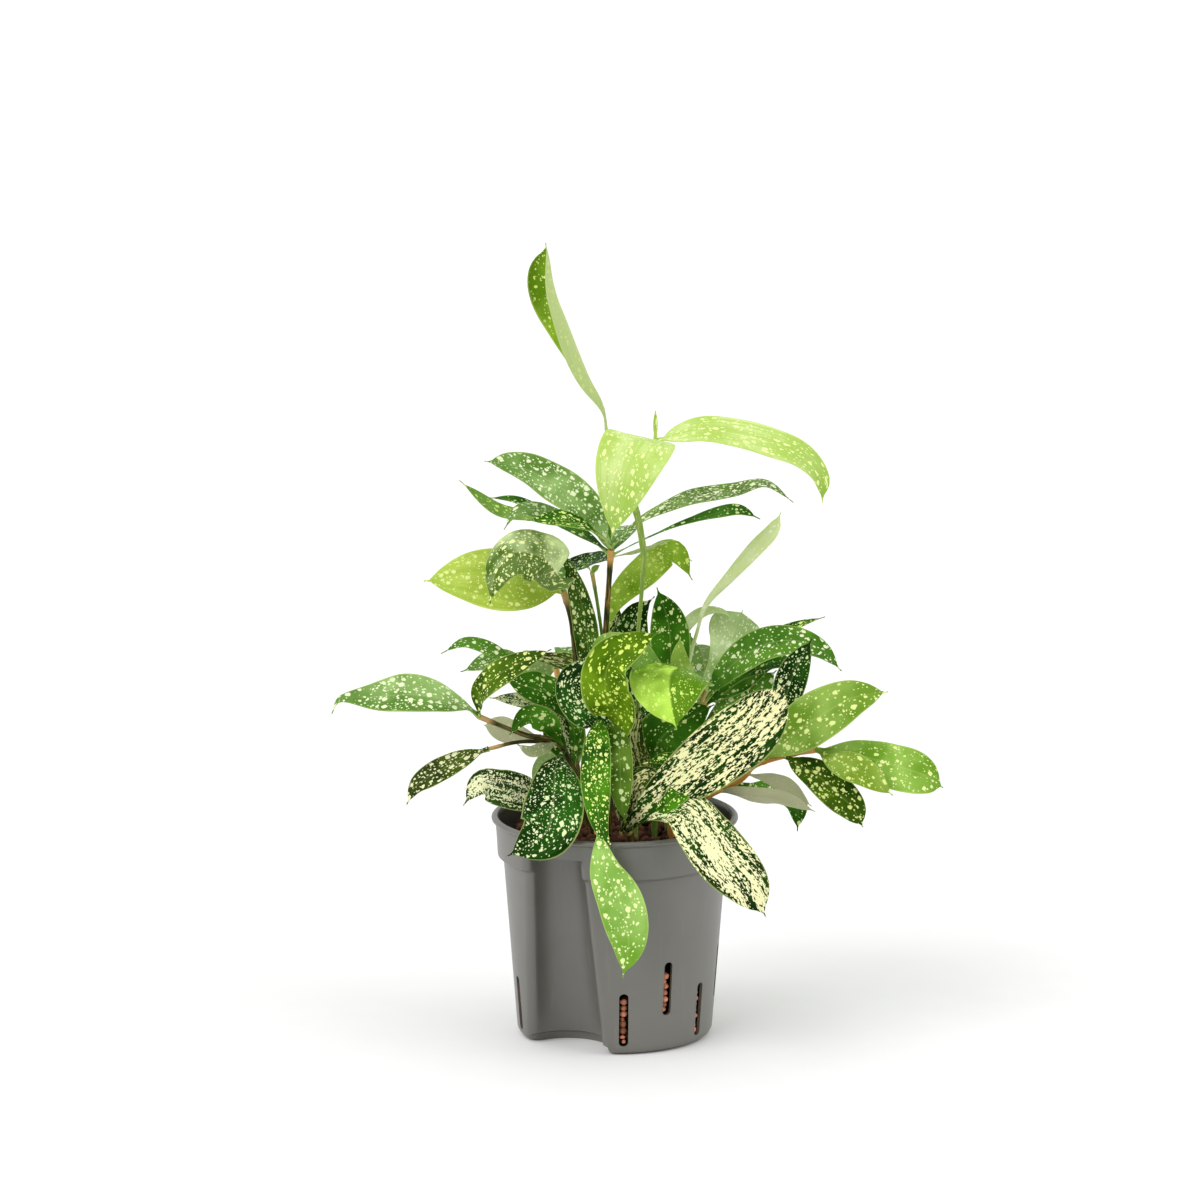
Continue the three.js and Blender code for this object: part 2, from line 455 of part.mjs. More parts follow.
// The channel's space as a leaning cone from one height to another, grown by a margin.
function channel(margin, from, to) {
  const share = (height) => height / CHANNEL_TOP.height;
  const between = (key, height) =>
    THREE.MathUtils.lerp(CHANNEL_BASE[key], CHANNEL_TOP[key], share(height));
  const positions = [];
  const triangles = [];
  for (const height of [from, to]) {
    const centre = outward(CHANNEL_AZIMUTH).multiplyScalar(between("reach", height));
    const radius = between("radius", height) + margin;
    positions.push(centre.x, centre.y, height);
    for (let i = 0; i < CHANNEL_FACETS; i++) {
      const angle = (2 * Math.PI * i) / CHANNEL_FACETS;
      positions.push(centre.x + radius * Math.cos(angle), centre.y + radius * Math.sin(angle), height);
    }
  }
  const top = CHANNEL_FACETS + 1;
  for (let i = 0; i < CHANNEL_FACETS; i++) {
    const here = 1 + i;
    const next = 1 + ((i + 1) % CHANNEL_FACETS);
    triangles.push(0, next, here, top, top + here, top + next);
    triangles.push(here, next, top + next, here, top + next, top + here);
  }
  return skin(positions, triangles);
}

// A slot through the wall: an upright shape with round ends, pushed outwards at an azimuth.
function slot(azimuth, bottom) {
  const half = SLOT_WIDTH / 2;
  const outline = new THREE.Shape();
  outline.moveTo(-half, bottom + half);
  outline.absarc(0, bottom + half, half, Math.PI, 2 * Math.PI);
  outline.lineTo(half, bottom + SLOT_HEIGHT - half);
  outline.absarc(0, bottom + SLOT_HEIGHT - half, half, 0, Math.PI);
  const through = new THREE.ExtrudeGeometry(outline, {
    depth: RIM_RADIUS - BASE_RADIUS + WALL,
    bevelEnabled: false,
    curveSegments: 3,
  });
  through.rotateX(Math.PI / 2);
  through.translate(0, -(BASE_RADIUS - 2 * WALL), 0);
  through.rotateZ(azimuth);
  return solidOf(through);
}

function slots() {
  return [...SLOT_PATTERN].map((kind, i) => ({
    azimuth: FIRST_SLOT + i * SLOT_STEP,
    bottom: kind === "L" ? SLOT_LOW : SLOT_HIGH,
  }));
}

function potSolid() {
  const collarFoot = POT_HEIGHT - COLLAR_HEIGHT;
  const outside = turned([
    [0, 0],
    [BASE_RADIUS, 0],
    [CORNER_RADIUS - 1.6, 1.4],
    [CORNER_RADIUS, CORNER_HEIGHT],
    [SHOULDER.radius, SHOULDER.height],
    [COLLAR_RADIUS - 1.2, collarFoot],
    [COLLAR_RADIUS, POT_HEIGHT - LIP_HEIGHT - 0.6],
    [RIM_RADIUS, POT_HEIGHT - LIP_HEIGHT],
    [RIM_RADIUS, POT_HEIGHT - 0.8],
    [RIM_RADIUS - 0.8, POT_HEIGHT],
    [0, POT_HEIGHT],
  ]);
  const inside = turned([
    [0, FLOOR],
    [CORNER_RADIUS - 2 * WALL, FLOOR],
    [CORNER_RADIUS - WALL, FLOOR + WALL],
    [SHOULDER.radius - WALL, SHOULDER.height],
    [COLLAR_RADIUS - 1.2 - WALL, collarFoot],
    [COLLAR_RADIUS - WALL, POT_HEIGHT - LIP_HEIGHT],
    [COLLAR_RADIUS - WALL + 0.8, POT_HEIGHT + 1],
    [0, POT_HEIGHT + 1],
  ]);
  const liner = channel(WALL, 0, CHANNEL_TOP.height + WALL).intersect(outside);
  const cuts = [
    channel(0, -1, CHANNEL_TOP.height),
    channel(CHANNEL_NOTCH.margin, -1, CHANNEL_NOTCH.height),
    ...slots().map(({ azimuth, bottom }) => slot(azimuth, bottom)),
  ];
  return wasm.Manifold.union([outside.subtract(inside), liner]).subtract(wasm.Manifold.union(cuts));
}

// A repeatable series of numbers from 0 to 1.
function seeded(seed) {
  let state = seed;
  return () => {
    state = (state * 16807) % 2147483647;
    return state / 2147483647;
  };
}

// The rings of the granulate from its foot to its middle, with how far each granule stands out.
function granulateRings() {
  const gap = WALL + CLEARANCE + FACET_ROOM;
  const topRadius = COLLAR_RADIUS - 1.2 - gap - CLEARANCE;
  const rings = [{ radius: CORNER_RADIUS - 2 * gap, height: FLOOR + CLEARANCE, out: 0, up: 0 }];
  for (let row = 1; row <= SLOT_ROWS; row++) {
    const height = FLOOR + ((SLOT_ZONE_TOP - FLOOR) * row) / (SLOT_ROWS + 1);
    const radius = wallRadius(height) - gap - SLOT_INSET;
    rings.push({ radius, height, out: SLOT_INSET - CLEARANCE, up: 0 });
  }
  rings.push({ radius: wallRadius(SLOT_ZONE_TOP) - gap, height: SLOT_ZONE_TOP, out: 0, up: 0 });
  rings.push({ radius: SHOULDER.radius - gap - CLEARANCE, height: SHOULDER.height, out: 0, up: 0 });
  rings.push({ radius: topRadius, height: POT_HEIGHT - COLLAR_HEIGHT + 0.5, out: 0, up: 0 });
  rings.push({ radius: topRadius, height: SOIL_TOP, out: 0, up: 0 });
  for (let ring = 1; ring <= GRANULE_RINGS; ring++) {
    const radius = topRadius * RING_SHRINK ** ring;
    rings.push({ radius, height: SOIL_TOP, out: 0, up: GRANULE_RISE * RING_SHRINK ** ring });
  }
  return rings;
}

// The granulate fills the pot, with plain upright holes where the canes stand.
function granulateSolid() {
  const random = seeded(41);
  const positions = [];
  const triangles = [];
  const rings = granulateRings();
  for (const [order, { radius, height, out, up }] of rings.entries()) {
    for (let i = 0; i < GRANULE_COLUMNS; i++) {
      const share = (i + order) % 2 ? 0.65 + 0.35 * random() : 0;
      const place = outward((2 * Math.PI * i) / GRANULE_COLUMNS).multiplyScalar(radius + out * share);
      positions.push(place.x, place.y, height + up * share);
    }
  }
  const foot = rings.length * GRANULE_COLUMNS;
  const middle = foot + 1;
  const last = foot - GRANULE_COLUMNS;
  positions.push(0, 0, FLOOR + CLEARANCE, 0, 0, SOIL_TOP);
  for (let i = 0; i < GRANULE_COLUMNS; i++) {
    const next = (i + 1) % GRANULE_COLUMNS;
    triangles.push(foot, next, i, middle, last + i, last + next);
    for (let order = 0; order < rings.length - 1; order++) {
      const row = order * GRANULE_COLUMNS;
      const above = row + GRANULE_COLUMNS;
      // Each cell folds along its low corners, so that every high one is a granule by itself.
      if ((i + order) % 2) {
        triangles.push(row + i, row + next, above + i, row + next, above + next, above + i);
      } else {
        triangles.push(row + i, row + next, above + next, row + i, above + next, above + i);
      }
    }
  }
  const holes = SHOOTS.map(({ canes }) => {
    const [x, y, z, radius] = canes[0][0];
    const depth = SOIL_TOP + 2 * GRANULE_RISE - z + CLEARANCE;
    const wide = radius + HOLE_MARGIN;
    const hole = new THREE.CylinderGeometry(wide, wide, depth, HOLE_SIDES);
    hole.rotateX(Math.PI / 2);
    hole.translate(x, y, z - CLEARANCE + depth / 2);
    return solidOf(hole);
  });
  const space = channel(WALL + CLEARANCE, 0, CHANNEL_TOP.height + WALL + CLEARANCE);
  const cuts = wasm.Manifold.union([...holes, space]);
  return largest(skin(positions, triangles).subtract(cuts));
}

// A round stalk through points with radii.
function stalk(points) {
  const curve = new THREE.CatmullRomCurve3(
    points.map(([x, y, z]) => new THREE.Vector3(x, y, z)),
    false,
    "centripetal",
  );
  const steps = Math.max(points.length - 1, Math.ceil(curve.getLength() / STALK_STEP));
  const positions = [];
  const triangles = [];
  let side = new THREE.Vector3(1, 0, 0);
  for (let row = 0; row <= steps; row++) {
    const share = row / steps;
    const centre = curve.getPoint(share);
    const ahead = curve.getTangent(share);
    side = side.clone().addScaledVector(ahead, -side.dot(ahead)).normalize();
    const other = new THREE.Vector3().crossVectors(ahead, side);
    const place = share * (points.length - 1);
    const from = Math.min(Math.floor(place), points.length - 2);
    const radius = THREE.MathUtils.lerp(points[from][3], points[from + 1][3], place - from);
    for (let i = 0; i < STALK_SIDES; i++) {
      const angle = (2 * Math.PI * i) / STALK_SIDES;
      const point = centre.clone();
      point.addScaledVector(side, radius * Math.cos(angle));
      point.addScaledVector(other, radius * Math.sin(angle));
      positions.push(point.x, point.y, point.z);
    }
  }
  const last = steps * STALK_SIDES;
  for (let i = 0; i < STALK_SIDES; i++) {
    const next = (i + 1) % STALK_SIDES;
    for (let row = 0; row < last; row += STALK_SIDES) {
      triangles.push(row + i, row + next, row + STALK_SIDES + next);
      triangles.push(row + i, row + STALK_SIDES + next, row + STALK_SIDES + i);
    }
    if (i > 1) {
      triangles.push(0, i, i - 1);
      triangles.push(last, last + i - 1, last + i);
    }
  }
  return skin(positions, triangles);
}

// Half the blade's width as a share of its greatest, along the leaf from 0 to 1.
// It swells from the petiole, is widest at a given place, and ends in a short drip tip.
function bladeShare(along, widest, point) {
  const petiole = 0.05;
  const body = 0.96;
  const drip = 0.07;
  const dripLength = 0.12;
  const blade = THREE.MathUtils.clamp((along - petiole) / (1 - petiole), 0, 1);
  const share = Math.min(blade / body, 1);
  const peak = widest / body;
  const swell = (point * peak) / (1 - peak);
  const outline = (share ** swell * (1 - share) ** point) / (peak ** swell * (1 - peak) ** point);
  const tip = THREE.MathUtils.smoothstep(blade, 0.5, body) * Math.min(1, (1 - blade) / dripLength);
  return outline + drip * tip;
}

// One leaf as a thin closed blade; both faces are split into triangles alike.
function leafSolid(form, order) {
  const { points, width, face, tipFace, curl, wave, widest, point } = form;
  const curve = new THREE.CatmullRomCurve3(
    points.map((place) => new THREE.Vector3(...place)),
    false,
    "centripetal",
  );
  const rolled = Math.abs(curl) >= TIGHT_CURL && width > NARROW_BLADE;
  const across = width >= WIDE_BLADE || rolled ? 4 : 2;
  const bend = THREE.MathUtils.degToRad(curl) || 1e-4;
  const startFace = new THREE.Vector3(...face).normalize();
  const endFace = new THREE.Vector3(...tipFace).normalize();
  const places = width > NARROW_BLADE ? ROWS : NARROW_ROWS;
  const rows = places.map((along) => {
    const centre = curve.getPointAt(along);
    const ahead = curve.getTangentAt(along);
    const up = startFace.clone().lerp(endFace, along);
    up.addScaledVector(ahead, -up.dot(ahead)).normalize();
    const side = new THREE.Vector3().crossVectors(ahead, up);
    const half = Math.max((width / 2) * bladeShare(along, widest, point), 1 - along + 0.3);
    const petiole = Math.max(0, 1 - along / PETIOLE_END);
    const thickness = THREE.MathUtils.lerp(BLADE_THICKNESS, PETIOLE_THICKNESS, petiole);
    const ripple = wave * Math.min(1, (2 * half) / width);
    return { centre, up, side, half, thickness, ripple, along };
  });
  const positions = [];
  const columns = across + 1;
  for (const level of [0.5, -0.5]) {
    for (const row of rows) {
      for (let i = 0; i < columns; i++) {
        const k = (2 * i) / across - 1;
        const angle = bend * k;
        const phase = 2 * Math.PI * WAVE_CYCLES * row.along + WAVE_SHIFT * (order + Math.sign(k));
        const lift = (row.half * (1 - Math.cos(angle))) / bend + row.ripple * k * k * Math.sin(phase);
        const place = row.centre.clone();
        place.addScaledVector(row.side, (row.half * Math.sin(angle)) / bend);
        place.addScaledVector(row.up, lift);
        place.addScaledVector(row.side, -Math.sin(angle) * level * row.thickness);
        place.addScaledVector(row.up, Math.cos(angle) * level * row.thickness);
        positions.push(place.x, place.y, place.z);
      }
    }
  }
  const under = rows.length * columns;
  const triangles = [];
  const quad = (a, b, c, d) => triangles.push(a, b, c, a, c, d);
  for (let row = 0; row < rows.length - 1; row++) {
    for (let i = 0; i < across; i++) {
      const a = row * columns + i;
      const b = a + columns;
      triangles.push(a, b + 1, b, a, a + 1, b + 1);
      triangles.push(under + a, under + b, under + b + 1, under + a, under + b + 1, under + a + 1);
    }
    const left = row * columns;
    const right = left + across;
    quad(left, left + columns, under + left + columns, under + left);
    quad(right, under + right, under + right + columns, right + columns);
  }
  for (let i = 0; i < across; i++) {
    const end = (rows.length - 1) * columns + i;
    quad(i, under + i, under + i + 1, i + 1);
    quad(end, end + 1, under + end + 1, under + end);
  }
  return skin(positions, triangles);
}

// One shoot: its canes and leaves joined in one solid.
function shootSolid({ canes, leaves }) {
  return wasm.Manifold.union([...canes.map(stalk), ...leaves.map(leafSolid)]);
}

const plant = new THREE.Group();

function addPiece(name, solid, colour, roughness) {
  const material = new THREE.MeshStandardMaterial({ color: colour, roughness, metalness: 0 });
  const mesh = new THREE.Mesh(geometryOf(solid), material);
  mesh.name = name;
  plant.add(mesh);
}

addPiece("pot", potSolid(), 0x6f6e69, 0.6);
addPiece("granulate", granulateSolid(), 0x9c5a40, 0.95);
for (const shoot of SHOOTS) addPiece(shoot.name, shootSolid(shoot), shoot.colour, 0.45);

export default plant;
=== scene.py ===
"""A potted gold dust dracaena: the finish of its pot, granulate, canes and spotted leaves."""

import math
import random

import bmesh
import bpy
import numpy as np
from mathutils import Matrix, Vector


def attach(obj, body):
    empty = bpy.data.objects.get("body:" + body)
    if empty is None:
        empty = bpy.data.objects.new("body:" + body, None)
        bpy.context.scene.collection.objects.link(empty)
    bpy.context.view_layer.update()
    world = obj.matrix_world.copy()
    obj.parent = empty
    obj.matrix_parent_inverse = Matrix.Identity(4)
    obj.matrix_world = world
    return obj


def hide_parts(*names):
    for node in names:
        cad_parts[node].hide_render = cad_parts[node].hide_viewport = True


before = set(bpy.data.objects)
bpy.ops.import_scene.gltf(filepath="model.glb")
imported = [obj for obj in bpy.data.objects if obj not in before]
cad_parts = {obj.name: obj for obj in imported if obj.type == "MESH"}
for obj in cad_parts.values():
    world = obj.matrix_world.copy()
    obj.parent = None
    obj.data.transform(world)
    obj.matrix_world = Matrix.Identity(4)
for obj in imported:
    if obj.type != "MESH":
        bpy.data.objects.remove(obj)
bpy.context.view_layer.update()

# Lengths are in millimetres up to the point where a mesh is made.
MM = 0.001
BODY = "root"
SEED = 20
SHARP_ANGLE = math.radians(50)

# The pot: a common 130 mm culture pot with a scooped channel for a water gauge.
RIM_RADIUS = 65
POT_HEIGHT = 118
BASE_RADIUS = 46
WALL = 1.8
FLOOR = 3
CORNER_RADIUS = 51.6
CORNER_HEIGHT = 5
WALL_FOOT = 12
SHOULDER_RADIUS = 58.6
SHOULDER_HEIGHT = 93.8
SHOULDER_STEPS = (0.12, 0.5, 0.86, 1)
SHOULDER_RISE = 0.3
POT_SHARP_ANGLE = math.radians(28)

# The collar narrows downwards: by how much at the channel's top, just over its foot and at its foot.
COLLAR_RADIUS = 62.9
COLLAR_FOOT = 97
COLLAR_TAPER = 0.6
COLLAR_EDGE = 1.1
COLLAR_ROUND = 1.2
COLLAR_INNER_TAPER = 0.5

# The lip: a bead outside, and inside the rings that round it off, each with its outset and its drop.
LIP_HEIGHT = 3
BEAD_START = -0.42 * math.pi
LIP_INSIDE = ((0.8, 0.3), (0.2, 1.2), (0, LIP_HEIGHT))

# The channel: its scoop's radius and the distance of the scoop's axis from the pot's, at its foot and top.
CHANNEL_AZIMUTH = math.radians(-33)
CHANNEL_HEIGHT = 107
CHANNEL_SCOOP = (21, 15)
CHANNEL_REACH = (46, 57)
CHANNEL_NOTCH = 2
NOTCH_HEIGHT = 4
CHANNEL_FILLET = 4

# The drainage slots: low and high ones in turn round the wall.
SLOT_WIDTH = 4.2
SLOT_HEIGHT = 29
SLOT_BOTTOMS = {"L": 5, "H": 20.5}
SLOT_STEP = math.radians(360 / 14)
FIRST_SLOT = math.radians(5)
SLOT_PATTERN = "LHLHLHHLHLHL"
SLOT_FLARE = 1.3

# The plastic: its two greys, and the colours of its scuffs and of the painted shade inside it above the
# granules. Here and below, a material's scale counts features in a metre, and its roughness is a spread and
# a least value.
PLASTIC = ((91, 90, 84), (103, 101, 94))
PLASTIC_ROUGHNESS = (0.16, 0.3)
PLASTIC_GRAIN_SCALE = 1500
CLOUD_SCALE = 14
SCUFF = (134, 132, 125)
SCUFF_SCALES = (260, 260, 9)
# The painted shade inside the pot above the granules: its colour, and over how many millimetres it fades in.
INSIDE_SHADE = (40, 36, 32)
INSIDE_SHADE_FADE = 4

# The granulate: loose granules on a dark core, whose near-black clay is painted shade for the granules
# further down.
# Their colours are the light and the dark end of the tints.
SOIL_TOP = 105
CORE_INSET = 7.5
CORE_DROP = 2.5
GRAIN_RADII = (2.1, 3.3)
GRAIN_STEP = 5.3
GRAIN_ROW = 0.87
GRAIN_SHIFT = (-0.9, 0.9)
GRAIN_RISE = (-1.6, 1.4)
GRAIN_STRETCH = ((0.85, 1.1), (0.85, 1.1), (0.8, 1.05))
GRAIN_LOBES = (1.5, 3.4)
LOBE_PHASES = (0, 6.3)
LOBE_DEPTH = 0.08
CANE_ROOM = 2
# The granules on top keep to the dark end of the tints as painted shade under the leaves; within it they
# vary at random.
TOP_SHADED_TINTS = (0, 0.14)
GRAIN_CLAY = ((228, 150, 114), (44, 22, 14))
CORE_SHADE_CLAY = ((40, 22, 16), (24, 13, 10))
CLAY_ROUGHNESS = (0.3, 0.6)
PORE = (44, 24, 18)
PORE_SCALE = 900
PATCH_SCALE = 260

# The small granules in the slots: how full a slot is, and how irregularly they lie in it.
SLOT_FILL = 0.78
SLOT_GRAIN_RADII = (1.2, 2.1)
SLOT_GRAIN_DEPTHS = (0.2, 2.2)
SLOT_GRAIN_SIDES = (0.3, 1)
SLOT_GRAIN_RISE = (0.6, 1.1)
# The granules in the slots keep to the light end of the tints as painted light; within it they vary at
# random.
SLOT_LIT_TINTS = (0.35, 1)
BEHIND_SIDES = (-2, 2)
BEHIND_DEPTH = 2.6

# The leaves: how finely a blade is divided, and its thickness at the midrib and the petiole.
BLADE_ROWS = 46
BLADE_COLUMNS = 12
BLADE_THICKNESS = 0.5
PETIOLE_THICKNESS = 1.5
PETIOLE_END = 0.1
EDGE_THINNING = 0.55
LEAST_HALF_WIDTH = 0.3

# The leaf's outline: where its petiole ends, where its drip tip starts, and the tip's width and length.
PETIOLE_SHARE = 0.05
BODY_SHARE = 0.96
DRIP_WIDTH = 0.07
DRIP_LENGTH = 0.12

# The leaf's relief: a wave and a finer frill along each edge, and a crease along the midrib.
WAVE_CYCLES = 1.6
WAVE_SHIFT = 2.4
FRILL_DEPTH = 0.25
FRILL_CYCLES = 2.7
FRILL_FADE = 5
CREASE_DEPTH = 0.45
CREASE_WIDTH = 0.09
CREASE_FADE = 6

# The pattern on the leaves. A scale counts features in a millimetre, and radii are shares of a spot's cell.
PATTERN_STEP = 97
DRIFT_SCALE = 0.05
FINE_SCALE = 0.6
WANDER_SCALE = 0.55
SPOT_WANDER = 1.6
SPOT_SOFTNESS = 0.07
CROWD_SCALE = 0.09
CROWD_SPREAD = 2.4
CROWD_SHIFT = -0.2
LARGE_RADII = (0.14, 0.42)
SMALL_RADII = (0.16, 0.36)
SMALL_CELL = 0.46
FLECK_SCALE = 1.05
STREAK_SCALE = 0.4
STREAK_STRETCH = 5
CREAM_SOFTNESS = 0.015
RIB_COUNT = (26, 0.8, 1)
BAND_COUNT = (5, 0.6, 1)
# How softly the painted shade on one half of a leaf sets in at the midrib.
HALF_SHADE_SOFTNESS = 0.04
LEAF_ROUGHNESS_SPREAD = 0.16

# Where the leaf's end colour starts and is full, and how strongly each mark tints the green under it.
TIP_START = 0.6
TIP_END = 0.95
TIP_TINT = 0.75
RIB_TINT = 0.04
MIDRIB_TINT = 0.1
SPOT_TINT = 0.95
MARGIN_TINT = 0.45
UNDER_SPOT_TINT = 0.4
UNDER_RIB_TINT = 0.3
DARK_UNDER = (132, 164, 86)
YOUNG_UNDER = (180, 204, 112)
MARGIN = (206, 222, 128)

# The canes: how finely they are divided, and how they swell at each node and at the sheath at the end.
CANE_SIDES = 12
CANE_STEP = 1.6
CANE_ROWS = 8
CANE_FEET = (94, 104, 113)
NODE_STEP = 17
NODE_SHIFT = 7
NODE_WIDTH = 0.9
NODE_SWELL = 0.12
SHEATH_LENGTH = 9
SHEATH_RISE = 4
SHEATH_SWELL = 0.16
SHEATH_TAN = (196, 168, 118)

# The pattern on the canes. A scale counts features in a millimetre.
CANE_PATTERN_STEP = 50
BARK_STREAKS = (1.4, 1.4, 0.12)
BARK_ROUGHNESS = (0.2, 0.4)
SPECK_SCALE = 1.1

# The surround's brightness on the side of the camera and behind the part, and the two broad lights.
FRONT_LIGHT = 0.45
BACK_LIGHT = 1.0
LIGHT_SPREAD = math.radians(46)
LIGHTS = {"key_light": ((-1.3, -1.2, 1.6), 1.35), "fill_light": ((1.7, -0.8, 1.3), 0.6)}

# The floor: a large sheet of white paper.
FLOOR_SIZE = 40
PAPER = ((0.9, 0.9, 0.9, 1), (0.93, 0.93, 0.93, 1))
PAPER_SCALE = 40
PAPER_ROUGHNESS = 0.9

# The camera stands where the photograph was taken: 4 m off, a little above, with a long lens.
VIEW_TARGET = (-7.8, 0, 233)
VIEW_DISTANCE = 4000
VIEW_ELEVATION = math.radians(12)
VIEW_WIDTH = 1200 * 0.5235
SENSOR = 36
CLIP_END = 100


def stem(x, y, radius, points):
    """A shoot's first cane: it stands upright in the granulate and then runs through the points."""
    return [(x, y, height, radius) for height in CANE_FEET] + points


def leaf(name, kind, width, points, face, tip_face=None, curl=10, wave=0.5, widest=0.5, point=1):
    """A leaf: its width, the points along its midrib, where it faces and how it bends across."""
    return {
        "name": name,
        "kind": kind,
        "width": width,
        "points": points,
        "face": face,
        "tip_face": tip_face or face,
        "curl": math.radians(curl),
        "wave": wave,
        "widest": widest,
        "point": point,
    }


